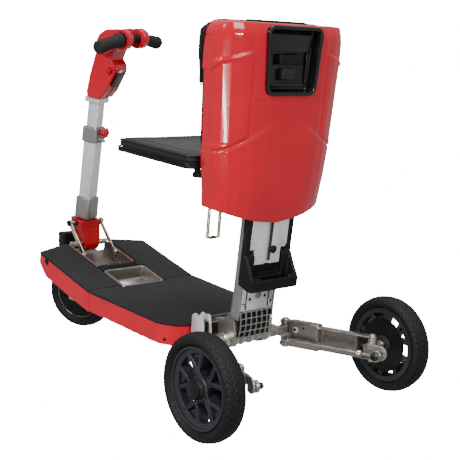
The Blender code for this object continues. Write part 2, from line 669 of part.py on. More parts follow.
def back_surface():
    """The back's skin, open towards the front: sides, bulged rear face, foot and head."""
    half = [(1.0, 0.0), (1.0, 0.39), (0.94, 0.60), (0.73, 0.857), (0.40, 0.985)]
    section = half + [(0.0, 1.0)] + [(-u, d) for u, d in reversed(half)]
    heights = [0.0, 0.07, 0.2, 0.39, 0.60, 0.815, 0.835, 0.93, 1.0]
    bm = bmesh.new()
    rows = [[bm.verts.new(back_point(u, 0.0, 0.0)) for u, _ in section]]
    for up in heights:
        rows.append([bm.verts.new(back_point(u, up, depth)) for u, depth in section])
    rows.append([bm.verts.new(back_point(u, 1.0, 0.0)) for u, _ in section])
    for low, high in zip(rows, rows[1:]):
        for index in range(len(section) - 1):
            bm.faces.new((low[index], high[index], high[index + 1], low[index + 1]))
    bmesh.ops.remove_doubles(bm, verts=bm.verts, dist=0.0001)
    obj = new_object(bm, BACK)
    solidify = obj.modifiers.new("wall", "SOLIDIFY")
    solidify.thickness = SHELL_WALL
    solidify.offset = -1.0
    solidify.use_even_offset = True
    return obj


def back_outline(inset):
    """The back's outline in its own plane: a shield whose foot is a shallow curve."""
    half = [back_point(u, 1.0, 0.0) for u in (0.0, 0.843, 0.90, 0.95, 1.0)]
    half += [back_point(1.0, up, 0.0) for up in (0.93, 0.835, 0.815, 0.60, 0.39, 0.2, 0.07)]
    half += [back_point(u, 0.0, 0.0) for u in (1.0, 0.95, 0.69, 0.345, 0.0)]
    middle = BACK_HEIGHT / 2
    shrink = (middle - inset) / middle
    wide = (BACK_HALF_WIDTH - inset) / BACK_HALF_WIDTH
    return mirrored([(point.x * wide, middle + (point.z - middle) * shrink) for point in half])


def build_back():
    recess = slab(BACK, mirrored([(0.0713, 0.3884), (0.0628, 0.2611)]),
                  -0.02, 0.05, "XZ")
    foot = block(BACK, (-0.0662, -0.10, -0.02), (0.0662, -0.0023, 0.0372))
    node("back_shell", back_surface(), "red_paint", cut=[foot, recess])
    front = BACK_FRONT - GAP
    panel = slab(BACK, back_outline(0.001), front - 0.004, front, "XZ")
    slot = block(BACK, (-0.066, -0.10, -0.02), (0.066, 0.1, 0.118))
    lug = block(BACK, (0.096, front - 0.016, 0.042), (0.102, front - 0.003, 0.052))
    eye = rod(BACK, (0.08, front - 0.0105, 0.047), (0.12, front - 0.0105, 0.047), 0.0034, 12)
    node("back_panel", panel, "black_plastic", cut=[slot])
    combine(bpy.data.objects["back_panel"], [combine(lug, [eye], "DIFFERENCE")], "UNION")
    thin = front - 0.004 - GAP
    low, high = 0.152, 0.272
    board = slab(BACK, back_outline(0.006), thin - 0.0040, thin, "XZ")
    clear_low = block(BACK, (-0.3, -0.2, -0.1), (0.3, 0.1, low))
    pad = slab(BACK, back_outline(-0.002), thin - 0.0115, thin - 0.0006, "XZ")
    pad_low = block(BACK, (-0.3, -0.2, -0.1), (0.3, 0.1, high))
    rounded(combine(pad, [pad_low], "DIFFERENCE"), 0.003, 1)
    node("back_pad", board, "seat_vinyl", cut=[clear_low])
    combine(bpy.data.objects["back_pad"], [pad], "UNION")


def build_handle():
    outline = [(0.0708, 0.3878), (0.0623, 0.2617)]
    outer = slab(BACK, mirrored(outline), -0.0100, 0.0205, "XZ")
    inner = [(0.0600, 0.3780), (0.0525, 0.2730)]
    hollow = slab(BACK, mirrored(inner), -0.0060, 0.05, "XZ")
    node("handle_frame", outer, "black_plastic", cut=[hollow])
    grip = block(BACK, (-0.032, 0.0010, 0.322), (0.032, 0.0120, 0.341), 0.003)
    arms = [block(BACK, (x - 0.004, -0.0055, 0.325), (x + 0.004, 0.005, 0.338)) for x in (-0.027, 0.027)]
    node("pull_handle", grip, "black_plastic", add=arms)
    latch = block(BACK, (-0.016, -0.0055, 0.292), (0.020, 0.0100, 0.314), 0.002)
    node("release_latch", latch, "grey_plastic")


def build_wire_loop():
    """A wire bail that hangs from an eye on the back panel, at the left."""
    front = BACK_FRONT - GAP - 0.0105
    x, top, low, half = 0.099, 0.047, -0.040, 0.013
    points = [(x + half * 0.5, front, top), (x + half, front, low + 0.03), (x + half, front, low),
              (x - half, front, low), (x - half, front, low + 0.03), (x - half * 0.5, front, top)]
    curve = bpy.data.curves.new("wire", "CURVE")
    curve.dimensions = "3D"
    curve.bevel_depth = 0.0022
    curve.bevel_resolution = 1
    spline = curve.splines.new("POLY")
    spline.points.add(len(points) - 1)
    for point, place in zip(spline.points, points):
        point.co = (*place, 1.0)
    spline.use_cyclic_u = True
    obj = bpy.data.objects.new("wire", curve)
    CUTTERS.objects.link(obj)
    obj.parent = BACK
    node("wire_loop", as_mesh(obj), "zinc_steel")


# ---------------------------------------------------------------- rear arms and wheels
def build_cross_tube():
    ahead = ARM_AHEAD
    tube = rod(None, at(-0.088, ahead, TUBE_Z), at(0.088, ahead, TUBE_Z), TUBE_R, 24)
    extra = []
    for sign in (1, -1):
        barrel = at(sign * ARM_X, ARM_AHEAD, ARM_Z)
        extra.append(rod(None, barrel - Vector((0, 0, 0.0205)), barrel + Vector((0, 0, 0.0205)), 0.0105, 20))
        low = at(min(sign * 0.080, sign * ARM_X), ahead + 0.009, 0.1120)
        high = at(max(sign * 0.080, sign * ARM_X), ahead - 0.009, 0.1285)
        extra.append(block(None, low, high))
        inner = rod_pivot(sign)
        extra.append(rod(None, inner - Vector((0, 0, 0.007)), inner + Vector((0, 0, 0.017)), 0.0040, 12))
        low = Vector((min(sign * 0.085, inner.x), inner.y - 0.03, inner.z + 0.0105))
        high = Vector((max(sign * 0.085, inner.x) , inner.y + 0.005, inner.z + 0.0170))
        extra.append(block(None, low, high))
    node("cross_tube", tube, "cast_aluminium", add=extra)


def arm_frame(sign):
    """The arm's own frame at its pivot: +Y runs out along the arm, +X away from the middle."""
    turn = -sign * ARM_SPLAY
    name = f"rear_arm_{'left' if sign > 0 else 'right'}_pivot"
    return make_frame(name, at(sign * ARM_X, ARM_AHEAD, ARM_Z), 0.0, turn)


def rod_pivot(sign):
    turn = Matrix.Rotation(-sign * ARM_SPLAY, 3, "Z")
    return at(sign * ARM_X, ARM_AHEAD, ARM_Z - 0.010) + turn @ Vector((sign * ROD_OFFSET, ROD_START, 0))


def build_arm(side, sign):
    frame = arm_frame(sign)

    def part(low, high, round_by=0.0):
        x_low, x_high = sorted((sign * low[0], sign * high[0]))
        return block(frame, (x_low, low[1], low[2]), (x_high, high[1], high[2]), round_by)

    body = part((-0.010, 0.0140, -0.030), (0.013, 0.088, 0.031), 0.003)
    lugs, flanges = [], []
    for low, high in ((0.0210, 0.0295), (-0.0292, -0.0210)):
        lugs.append(rod(frame, (0, 0, low), (0, 0, high), 0.0125, 20))
        shrink = 0.0004
        lugs.append(part((-0.0095, 0.0, low + shrink), (0.0115, 0.045, high - shrink)))
    for low, high in ((0.0215, 0.0255), (-0.0255, -0.0215)):
        flanges.append(part((-0.0094, 0.080, low), (0.0115, ARM_LENGTH, high)))
        flanges.append(rod(frame, (0, ARM_LENGTH, low - 0.0003), (0, ARM_LENGTH, high + 0.0003), 0.010, 20))
    web = part((0.0085, 0.081, -0.0248), (0.0121, ARM_LENGTH - 0.040, 0.0248))
    node(f"rear_arm_{side}", body, "bronze_aluminium", add=[*lugs, *flanges, web])

    offset = sign * ROD_OFFSET
    drop = -0.010
    bar = rod(frame, (offset, ROD_START + 0.008, drop), (offset, 0.204, drop), 0.0055, 14)
    shank = rod(frame, (offset, 0.202, drop), (offset, 0.2245, drop), 0.0035, 12)
    inner_eye = rod(frame, (offset, ROD_START, drop - 0.0045), (offset, ROD_START, drop + 0.0045), 0.0105, 20)
    end_y = ARM_LENGTH + ROD_START
    reach = 0.0045
    outer_eye = rod(frame, (offset - reach, end_y, drop), (offset + reach, end_y, drop), 0.0125, 20)
    hole = rod(frame, (offset, ROD_START, drop - 0.02), (offset, ROD_START, drop + 0.02), 0.0044, 12)
    socket = rod(frame, (offset - 0.02, end_y, drop), (offset + 0.02, end_y, drop), 0.0084, 20)
    node(f"link_rod_{side}", bar, "zinc_steel", add=[shank, inner_eye, outer_eye], cut=[hole, socket])
    return frame


def build_carrier(side, sign, frame):
    """The wheel's carrier: a barrel between the arm's flanges, a round-ended plate and the axle."""
    barrel = rod(frame, (0, ARM_LENGTH, -0.0210), (0, ARM_LENGTH, 0.0210), 0.0095, 20)
    inboard = sign * -0.0105
    far = sign * -0.0155
    low, high = sorted((inboard, far))
    end_y = ARM_LENGTH + ROD_START
    plate = slab(frame, [(ARM_LENGTH - 0.006, 0.012), (ARM_LENGTH - 0.006, -0.003), (end_y - 0.0105, -0.003),
                         (end_y - 0.0105, -0.020)]
                 + arc((end_y + 0.004, -0.006), 0.0165, -90, 90, 8), low, high, "YZ")
    neck_low, neck_high = sorted((0.0, inboard * 1.1))
    neck = block(frame, (neck_low, ARM_LENGTH - 0.0048, -0.0143), (neck_high, ARM_LENGTH + 0.0055, 0.0087))
    offset = sign * ROD_OFFSET
    stud = rod(frame, (far * 0.98, end_y, -0.010), (offset - sign * 0.0125, end_y, -0.010), 0.0035, 12)
    ball = turned(frame, arc((0, 0), 0.0080, -90, 90, 8), 16, (offset, end_y, -0.010), (sign, 0, 0))
    nut = rod(frame, (offset - sign * 0.0088, end_y, -0.010), (offset - sign * 0.0135, end_y, -0.010), 0.0065, 6)
    hub = at(sign * REAR_HALF_TRACK, 0.0, REAR_WHEEL_R)
    bpy.context.view_layer.update()
    pin = frame.matrix_world @ Vector((0, ARM_LENGTH, 0))
    start = Vector((pin.x, hub.y, hub.z))
    bridge_low = Vector((min(pin.x, pin.x + sign * 0.010), hub.y - 0.007, hub.z - 0.009))
    bridge_high = Vector((max(pin.x, pin.x + sign * 0.010), pin.y, hub.z + 0.009))
    bridge = block(None, bridge_low, bridge_high)
    outer = hub.x + sign * 0.0215
    axle = rod(None, start, Vector((outer, hub.y, hub.z)), 0.0070, 16)
    node(f"wheel_carrier_{side}", barrel, "cast_aluminium", add=[plate, neck, stud, ball, nut])
    combine(bpy.data.objects[f"wheel_carrier_{side}"], [bridge, axle], "UNION")


def build_rear_wheel(side, sign):
    centre = at(sign * REAR_HALF_TRACK, 0.0, REAR_WHEEL_R)
    tyre(f"rear_tyre_{side}", None, centre, REAR_WHEEL_R, REAR_RIM_R, REAR_TYRE_WIDTH, 32)
    rim = REAR_RIM_R - GAP
    profile = [(0.0076, 0.016), (0.020, 0.016), (0.024, 0.008), (0.066, 0.008), (0.069, 0.0165),
               (rim, 0.0165), (rim, -0.0165), (0.069, -0.0165), (0.066, -0.006), (0.024, -0.006),
               (0.020, -0.022), (0.0076, -0.022)]
    wheel = turned(None, profile, 32, centre, (sign, 0, 0))
    windows = []
    for index in range(5):
        angle = 360 / 5 * index + 0.7
        wide = arc((0, 0), 0.0625, angle - 18, angle + 18, 4)
        wide += list(reversed(arc((0, 0), 0.030, angle - 18, angle + 18, 2)))
        small = arc((0, 0), 0.0625, angle + 29, angle + 43, 2)
        small += list(reversed(arc((0, 0), 0.0500, angle + 34, angle + 38, 1)))
        for window in (wide, small):
            cutter = slab(None, window, -0.05, 0.05, "YZ")
            cutter.location = centre
            windows.append(cutter)
    node(f"rear_rim_{side}", wheel, "black_plastic", cut=windows)
    face = centre + Vector((sign * 0.0165, 0, 0))
    cap = turned(None, [(0.0, 0.0055), (0.015, 0.0050), (0.019, 0.002), (0.019, 0.0), (0.0, 0.0)], 24,
                 face + Vector((sign * 0.0055, 0, 0)), (sign, 0, 0))
    node(f"hub_cap_{side}", cap, "black_plastic")


def build_latch_lugs():
    """The bright hooks at the rear corners of the deck that the fold locks on."""
    for side, sign in (("left", 1), ("right", -1)):
        profile = [(-0.247, 0.128), (-0.243, 0.168), (-0.233, 0.176), (-0.225, 0.170), (-0.221, 0.176),
                   (-0.209, 0.172), (-0.205, 0.128)]
        low, high = sorted((sign * 0.092, sign * 0.098))
        outline = [(REAR_AXLE_Y + v, z) for v, z in profile]
        lug = slab(None, outline, low, high, "YZ")
        node(f"latch_lug_{side}", lug, "bright_aluminium")


def mirror_node(name, source_name, material):
    """The right-hand twin of a left-hand node."""
    bpy.context.view_layer.update()
    depsgraph = bpy.context.evaluated_depsgraph_get()
    source = bpy.data.objects[source_name]
    mesh = bpy.data.meshes.new_from_object(source.evaluated_get(depsgraph))
    mesh.transform(Matrix.Diagonal((-1, 1, 1, 1)) @ source.matrix_world)
    mesh.materials.clear()
    bm = bmesh.new()
    bm.from_mesh(mesh)
    node(name, new_object(bm, None), material)


# ---------------------------------------------------------------- the whole scooter
def main():
    build_rear_deck()
    build_front_deck()
    build_trays()
    build_deck_hinge()
    build_tiller_base()
    build_braces()
    build_column()
    build_upper_column()
    build_head()
    build_controls()
    build_fork()
    build_front_wheel()
    build_steering_head()
    build_post()
    build_post_details()
    build_cradle()
    build_seat_bracket()
    build_seat()
    build_back()
    build_handle()
    build_wire_loop()
    build_cross_tube()
    for side, sign in (("left", 1), ("right", -1)):
        build_rear_wheel(side, sign)
    build_carrier("left", 1, build_arm("left", 1))
    mirror_node("rear_arm_right", "rear_arm_left", "bronze_aluminium")
    mirror_node("link_rod_right", "link_rod_left", "zinc_steel")
    mirror_node("wheel_carrier_right", "wheel_carrier_left", "cast_aluminium")
    build_latch_lugs()


main()
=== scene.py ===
"""The looks of a folding three-wheeled mobility scooter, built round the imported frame."""

import json
import math

import bmesh
import bpy
from mathutils import Matrix, Vector


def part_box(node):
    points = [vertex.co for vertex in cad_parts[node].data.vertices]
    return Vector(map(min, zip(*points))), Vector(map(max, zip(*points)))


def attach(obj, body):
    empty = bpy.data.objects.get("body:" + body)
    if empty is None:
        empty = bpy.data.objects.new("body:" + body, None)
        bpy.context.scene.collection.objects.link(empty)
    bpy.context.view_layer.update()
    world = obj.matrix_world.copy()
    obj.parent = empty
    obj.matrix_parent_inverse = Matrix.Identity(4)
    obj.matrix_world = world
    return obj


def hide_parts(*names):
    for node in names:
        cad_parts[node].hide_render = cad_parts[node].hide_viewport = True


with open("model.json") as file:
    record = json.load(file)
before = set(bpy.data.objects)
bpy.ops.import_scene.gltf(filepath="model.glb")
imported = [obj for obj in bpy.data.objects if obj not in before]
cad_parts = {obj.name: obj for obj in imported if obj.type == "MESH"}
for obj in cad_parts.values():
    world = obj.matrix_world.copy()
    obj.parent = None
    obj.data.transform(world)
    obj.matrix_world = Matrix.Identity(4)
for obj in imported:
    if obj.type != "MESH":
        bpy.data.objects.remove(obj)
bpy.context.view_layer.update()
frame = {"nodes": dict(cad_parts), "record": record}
NODES = frame["nodes"]

# ---------------------------------------------------------------- places taken from the frame
TYRE_LOW, TYRE_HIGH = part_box("rear_tyre_left")
REAR_AXLE = (TYRE_LOW + TYRE_HIGH) / 2
REAR_TYRE_R = (TYRE_HIGH.z - TYRE_LOW.z) / 2
REAR_RIM_R = 0.081
DECK_JOINT_AHEAD, DECK_JOINT_Z = 0.572, 0.173
FRONT_TYRE_R = 0.093
FRONT_RIM_R = 0.066
REAR_TYRE_WIDTH, REAR_GROOVES = 0.047, 50
FRONT_TYRE_WIDTH, FRONT_GROOVES = 0.046, 44
TREAD_DEPTH = 0.0017
PIPING_R = 0.0015
CLOTH_FRAMES = 20


def at(x, ahead, z):
    """A point given by how far ahead of the rear axle it is."""
    return Vector((x, REAR_AXLE.y - ahead, z))


def leaned(place, lean, turn=0.0):
    """The frame of a body that leans back by lean degrees and is turned about its own upright."""
    tilt = Matrix.Rotation(math.radians(-lean), 4, "X")
    return Matrix.Translation(place) @ tilt @ Matrix.Rotation(math.radians(turn), 4, "Z")


WORLD = Matrix.Identity(4)
SIDES = (("left", 1), ("right", -1))
FLOOR_Z = -0.62  # under the lowest place that the folding deck reaches
REAR_DECK = leaned(at(0, DECK_JOINT_AHEAD, DECK_JOINT_Z), 4.0)
FRONT_DECK = leaned(at(0, DECK_JOINT_AHEAD, DECK_JOINT_Z), 14.5)
TILLER = leaned(at(0, 0.811, 0.437), 10.5)
COLUMN = leaned(at(0, 0.811, 0.437), 10.5, 24.0)
POST = leaned(at(0, 0.163, 0.17), 8.0)
POST_FACE = POST @ Matrix.Rotation(math.radians(90), 4, "X")
BACK = leaned(at(0, 0.1, 0.383), 5.6)
SEAT = leaned(at(0, 0.156, 0.494), 4.6)
STRAIGHT_HUB = TILLER.inverted() @ at(0, 0.865, FRONT_TYRE_R)
HUB = Vector((0.0, STRAIGHT_HUB.y, STRAIGHT_HUB.z))
FOLD_PIN = Vector((0.0, 0.0258, -0.1996))


# ---------------------------------------------------------------- camera, light and floor
CAMERA_PLACE = (1.342, 1.8041, 0.682)


def build_camera():
    azimuth, elevation, roll = math.radians(140.28), math.radians(9.05), math.radians(1.0)
    back = Vector((math.sin(azimuth) * math.cos(elevation), -math.cos(azimuth) * math.cos(elevation),
                   math.sin(elevation)))
    level = Vector((math.cos(azimuth), math.sin(azimuth), 0.0))
    raised = back.cross(level)
    right = level * math.cos(roll) + raised * math.sin(roll)
    up = back.cross(right)
    data = bpy.data.cameras.new("camera")
    data.sensor_width = 36.0
    data.lens = 76.57
    data.clip_start = 0.05
    camera = bpy.data.objects.new("camera", data)
    rotation = Matrix((right, up, back)).transposed().to_4x4()
    camera.matrix_world = Matrix.Translation(CAMERA_PLACE) @ rotation
    bpy.context.scene.collection.objects.link(camera)
    bpy.context.scene.camera = camera


def add_light(name, place, target, power, size, colour=(1, 1, 1)):
    data = bpy.data.lights.new(name, "AREA")
    data.energy = power
    data.size = size
    data.color = colour
    light = bpy.data.objects.new(name, data)
    light.location = place
    light.rotation_euler = (Vector(place) - Vector(target)).to_track_quat("Z", "Y").to_euler()
    bpy.context.scene.collection.objects.link(light)
    return light


def build_studio():
    world = bpy.data.worlds.new("studio")
    bpy.context.scene.world = world
    world.use_nodes = True
    background = world.node_tree.nodes["Background"]
    background.inputs["Color"].default_value = (1.0, 1.0, 1.0, 1.0)
    background.inputs["Strength"].default_value = 0.55
    middle = (0.0, 0.0, 0.35)
    add_light("key", (2.6, 1.2, 2.4), middle, 132.0, 0.9)
    add_light("rear", (0.2, 3.4, 2.2), middle, 52.0, 1.0)
    add_light("top", (-0.3, 0.2, 3.0), middle, 48.0, 1.4)
    strip = add_light("strip", (1.16, 1.56, 0.26), Vector((0.146, 0.342, 0.58)), 7.0, 0.045)
    strip.data.shape, strip.data.size_y = "RECTANGLE", 0.42
    add_light("spark", (0.15, 2.4, 0.775), Vector((0.136, 0.366, 0.757)), 3.0, 0.05)
    away = Matrix.Rotation(math.atan2(CAMERA_PLACE[1], CAMERA_PLACE[0]), 4, "Z")
    add_sheet("floor", 90.0, away @ Matrix.Translation((0, 0, FLOOR_Z)), "floor")
    upright = Matrix.Rotation(math.radians(90), 4, "Y")
    add_sheet("backdrop", 14.0, away @ Matrix.Translation((-6.0, 0, 4.0)) @ upright, "backdrop")


def add_sheet(name, size, place, material):
    """A flat square of the studio."""
    mesh = bpy.data.meshes.new(name)
    bm = bmesh.new()
    bmesh.ops.create_grid(bm, x_segments=2, y_segments=2, size=size)
    bm.to_mesh(mesh)
    bm.free()
    obj = bpy.data.objects.new(name, mesh)
    obj.matrix_world = place
    bpy.context.scene.collection.objects.link(obj)
    mesh.materials.append(MATERIALS[material])
    obj.visible_glossy = False
    obj.visible_diffuse = False


# ---------------------------------------------------------------- materials
class Graph:
    """A short way to lay out a material's nodes."""

    def __init__(self, name):
        self.material = bpy.data.materials.new(name)
        self.material.use_nodes = True
        self.tree = self.material.node_tree
        self.shader = self.tree.nodes["Principled BSDF"]
        self.coordinates = self.add("ShaderNodeTexCoord").outputs["Object"]

    def add(self, kind, **settings):
        node = self.tree.nodes.new(kind)
        for key, value in settings.items():
            setattr(node, key, value)
        return node

    def link(self, source, target):
        self.tree.links.new(source, target)

    def scaled(self, stretch):
        mapping = self.add("ShaderNodeMapping")
        mapping.inputs["Scale"].default_value = stretch
        self.link(self.coordinates, mapping.inputs["Vector"])
        return mapping.outputs["Vector"]

    def noise(self, scale, detail=4.0, stretch=(1, 1, 1), roughness=0.55):
        texture = self.add("ShaderNodeTexNoise")
        texture.inputs["Scale"].default_value = scale
        texture.inputs["Detail"].default_value = detail
        texture.inputs["Roughness"].default_value = roughness
        self.link(self.scaled(stretch), texture.inputs["Vector"])
        return texture.outputs["Fac"]

    def cells(self, scale, feature="F1"):
        texture = self.add("ShaderNodeTexVoronoi", feature=feature)
        texture.inputs["Scale"].default_value = scale
        self.link(self.scaled((1, 1, 1)), texture.inputs["Vector"])
        return texture.outputs["Distance"]

    def ramp(self, source, low, high, first=0.35, last=0.65):
        ramp = self.add("ShaderNodeValToRGB")
        ramp.color_ramp.elements[0].position = first
        ramp.color_ramp.elements[1].position = last
        ramp.color_ramp.elements[0].color = (*low, 1.0)
        ramp.color_ramp.elements[1].color = (*high, 1.0)
        self.link(source, ramp.inputs["Fac"])
        return ramp.outputs["Color"]

    def spread(self, source, low, high):
        span = self.add("ShaderNodeMapRange")
        span.inputs["From Min"].default_value = 0.3
        span.inputs["From Max"].default_value = 0.7
        span.inputs["To Min"].default_value = low
        span.inputs["To Max"].default_value = high
        self.link(source, span.inputs["Value"])
        return span.outputs["Result"]

    def total(self, first, second, share):
        node = self.add("ShaderNodeMath", operation="MULTIPLY_ADD")
        node.inputs[1].default_value = share
        self.link(second, node.inputs[0])
        self.link(first, node.inputs[2])
        return node.outputs["Value"]

    def bump(self, height, strength, distance):
        node = self.add("ShaderNodeBump")
        node.inputs["Strength"].default_value = strength
        node.inputs["Distance"].default_value = distance
        self.link(height, node.inputs["Height"])
        self.link(node.outputs["Normal"], self.shader.inputs["Normal"])

    def surface(self, colour, rough=None, **constants):
        """The finished material, from its colour, its roughness and the shader's constants."""
        self.link(colour, self.shader.inputs["Base Color"])
        if rough:
            self.link(rough, self.shader.inputs["Roughness"])
        for key, value in constants.items():
            self.shader.inputs[key.replace("_", " ")].default_value = value
        return self.material


def scaled_colour(colour, share, lift=0.0):
    return tuple(part * share + lift for part in colour)


def paint(name, colour, rough, coat):
    graph = Graph(name)
    shade = graph.ramp(graph.noise(7.0, 3.0), scaled_colour(colour, 0.88), colour)
    sheen = graph.spread(graph.noise(60.0, 5.0), rough - 0.04, rough + 0.05)
    graph.bump(graph.noise(420.0, 2.0), 0.02, 0.0002)
    return graph.surface(shade, sheen, Coat_Weight=coat, Coat_Roughness=0.04, Coat_IOR=1.35,
                         Specular_IOR_Level=0.22)


def metal(name, colour, rough, stretch, grain, distance, metallic=1.0):
    graph = Graph(name)
    streaks = graph.noise(grain, 6.0, stretch, 0.65)
    blotches = graph.total(streaks, graph.noise(22.0, 4.0), 0.4)
    shade = graph.ramp(blotches, scaled_colour(colour, 0.8), colour, 0.45, 0.95)
    graph.bump(streaks, 0.14, distance)
    return graph.surface(shade, graph.spread(streaks, rough - 0.08, rough + 0.1), Metallic=metallic)


def plastic(name, colour, rough, grain=700.0, depth=0.00025, specular=0.5):
    graph = Graph(name)
    shade = graph.ramp(graph.noise(11.0, 5.0), colour, scaled_colour(colour, 1.35, 0.002))
    sheen = graph.spread(graph.noise(35.0, 4.0), rough - 0.06, rough + 0.06)
    graph.bump(graph.cells(grain), 0.35, depth)
    return graph.surface(shade, sheen, Specular_IOR_Level=specular)


def vinyl(name, colour):
    graph = Graph(name)
    grain = graph.cells(620.0, "SMOOTH_F1")
    folds = graph.noise(26.0, 4.0)
    shade = graph.ramp(graph.total(grain, folds, 0.7), colour, scaled_colour(colour, 1.4), 0.3, 0.9)
    graph.bump(graph.total(grain, folds, 1.5), 0.4, 0.0006)
    return graph.surface(shade, graph.spread(folds, 0.4, 0.54), Sheen_Weight=0.06, Sheen_Roughness=0.5,
                         Specular_IOR_Level=0.25)


def rubber(name, colour, rough, dust):
    graph = Graph(name)
    patches = graph.noise(13.0, 6.0, (1, 1, 1), 0.7)
    shade = graph.ramp(patches, colour, scaled_colour(colour, 1.0, dust), 0.42, 0.78)
    graph.bump(graph.noise(900.0, 3.0), 0.45, 0.0005)
    return graph.surface(shade, graph.spread(patches, rough - 0.05, rough + 0.08), Specular_IOR_Level=0.22)


def white_stage(name, glow):
    """A white sheet of the studio that glows, so that it shows no shadow."""
    graph = Graph(name)
    white = graph.ramp(graph.noise(3.0), (0.93, 0.93, 0.93), (0.96, 0.96, 0.96))
    return graph.surface(white, Roughness=0.9, Emission_Color=(1.0, 1.0, 1.0, 1.0), Emission_Strength=glow)


MATERIALS = {
    "floor": white_stage("floor", 20.0),
    "backdrop": white_stage("backdrop", 22.0),
    "red_paint": paint("red_gloss_paint", (0.46, 0.002, 0.014), 0.16, 0.7),
    # The deck pans' red is the same paint with a satin finish. Its colour is painted brighter than the
    # shell's, as painted light, because the pan sides catch more light.
    "lit_red_deck": paint("lit_red_deck_paint", (0.56, 0.006, 0.02), 0.36, 0.12),
    "red_casting": paint("red_cast_paint", (0.34, 0.001, 0.005), 0.36, 0.2),
    "black_rubber": rubber("deck_rubber", (0.012, 0.012, 0.0125), 0.72, 0.008),
    "tyre_rubber": rubber("tyre_rubber", (0.004, 0.004, 0.0044), 0.6, 0.004),
    "black_plastic": plastic("black_moulding", (0.003, 0.003, 0.0033), 0.42, specular=0.2),
    "grey_plastic": plastic("grey_moulding", (0.014, 0.014, 0.015), 0.45, specular=0.2),
    "rim_plastic": plastic("rim_moulding", (0.0125, 0.013, 0.017), 0.36, 500.0, specular=0.35),
    "seat_vinyl": vinyl("seat_vinyl", (0.0055, 0.0055, 0.006)),
    "bright_aluminium": metal("bright_aluminium", (0.92, 0.92, 0.93), 0.32, (1, 1, 0.05), 260.0, 0.0002,
                              0.75),
    "cast_aluminium": metal("cast_aluminium", (0.36, 0.345, 0.33), 0.4, (1, 1, 1), 240.0, 0.0005, 0.9),
    "bronze_aluminium": metal("bronze_aluminium", (0.36, 0.33, 0.3), 0.34, (1, 0.1, 1), 200.0, 0.0003),
    "zinc_steel": metal("zinc_steel", (0.66, 0.62, 0.52), 0.28, (1, 1, 1), 160.0, 0.0003),
    "gloss_black": plastic("gloss_black_moulding", (0.003, 0.003, 0.0033), 0.16, 300.0, 0.00005, 0.45),
    # Dark glass for the display and the lamp lens. It also colours the discs of painted shade in the arm's
    # and the post plate's holes.
    "dark_glass": plastic("dark_display_and_hole_shade", (0.004, 0.004, 0.005), 0.1, 40.0, 0.00002),
}
REPAINTED = {"front_deck_pan": "lit_red_deck", "rear_deck_pan": "lit_red_deck", "rear_rim_left": "rim_plastic",
             "rear_rim_right": "rim_plastic", "hub_motor": "rim_plastic"}
SMOOTH_ANGLE = math.radians(38)


def dress_frame():
    """Every carried-over node gets a material with some depth, and slightly broken edges."""
    slots = {part["node"]: part["material_slot"] for part in frame["record"]["subparts"]}
    for name, obj in NODES.items():
        slot = slots[name]
        obj.data.materials.clear()
        obj.data.materials.append(MATERIALS[REPAINTED.get(name, slot)])
        size = min(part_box(name)[1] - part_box(name)[0])
        soften_edges(obj, min(0.0012, size * 0.12))


def soften_edges(obj, width, segments=2):
    bevel = obj.modifiers.new("broken_edges", "BEVEL")
    bevel.width = width
    bevel.segments = segments
    bevel.limit_method = "ANGLE"
    bevel.angle_limit = SMOOTH_ANGLE
    bevel.harden_normals = False
    for polygon in obj.data.polygons:
        polygon.use_smooth = True
    obj.data.set_sharp_from_angle(angle=SMOOTH_ANGLE)


# ---------------------------------------------------------------- mesh helpers
def finish_piece(name, bm, material, body, stands_for=(), place=WORLD, smooth=SMOOTH_ANGLE):
    """Turns the mesh into a piece that rides on a body, and hides the nodes that it stands for."""
    bmesh.ops.transform(bm, matrix=place, verts=bm.verts)
    bmesh.ops.recalc_face_normals(bm, faces=bm.faces)
    mesh = bpy.data.meshes.new(name)
    bm.to_mesh(mesh)
    bm.free()
    obj = bpy.data.objects.new(name, mesh)
    bpy.context.scene.collection.objects.link(obj)
    mesh.materials.append(MATERIALS[material])
    mesh.shade_smooth()
    mesh.set_sharp_from_angle(angle=smooth)
    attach(obj, body)
    if stands_for:
        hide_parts(*stands_for)
    return obj


def loft(bm, rows, closed_rows=True, cap_first=False, cap_last=False):
    """Faces between rows of points that all have the same length."""
    made = [[bm.verts.new(point) for point in row] for row in rows]
    count = len(made[0])
    span = count if closed_rows else count - 1
    for low, high in zip(made, made[1:]):
        for index in range(span):
            following = (index + 1) % count
            bm.faces.new((low[index], low[following], high[following], high[index]))
    if cap_first:
        bm.faces.new(list(reversed(made[0])))
    if cap_last:
        bm.faces.new(made[-1])
    return made


def circle(radius, height, steps):
    """The points of a circle round the Z axis."""
    turns = [math.tau * k / steps for k in range(steps)]
    return [Vector((radius * math.cos(turn), radius * math.sin(turn), height)) for turn in turns]


def turned(bm, profile, steps, place=WORLD, ends=True):
    """A body turned about its frame's Z; profile is (radius, height) from one end to the other."""
    rows = [[place @ point for point in circle(radius, height, steps)] for radius, height in profile]
    loft(bm, rows, True, ends, ends)


def along(start, axis):
    """A frame at start whose Z points along axis."""
    return Matrix.Translation(start) @ Vector(axis).to_track_quat("Z", "Y").to_matrix().to_4x4()


def rounded_outline(corners, radius, steps=5):
    """The closed outline with each corner rounded; corners are (u, v), anticlockwise."""
    points = []
    count = len(corners)
    for index, corner in enumerate(corners):
        here = Vector(corner)
        before = (Vector(corners[index - 1]) - here).normalized()
        after = (Vector(corners[(index + 1) % count]) - here).normalized()
        half = before.angle(after) / 2
        size = radius[index] if isinstance(radius, (list, tuple)) else radius
        reach = size / math.tan(half)
        centre = here + (before + after).normalized() * (size / math.sin(half))
        first = here + before * reach - centre
        turn = math.pi - 2 * half
        sign = 1 if (-before).cross(after) > 0 else -1
        for step in range(steps + 1):
            points.append(centre + Matrix.Rotation(sign * turn * step / steps, 2) @ first)
    return points


def rounded_box(low, high, radius, steps=5):
    """The closed outline of a rectangle with rounded corners."""
    return rounded_outline([low, (high[0], low[1]), high, (low[0], high[1])], radius, steps)


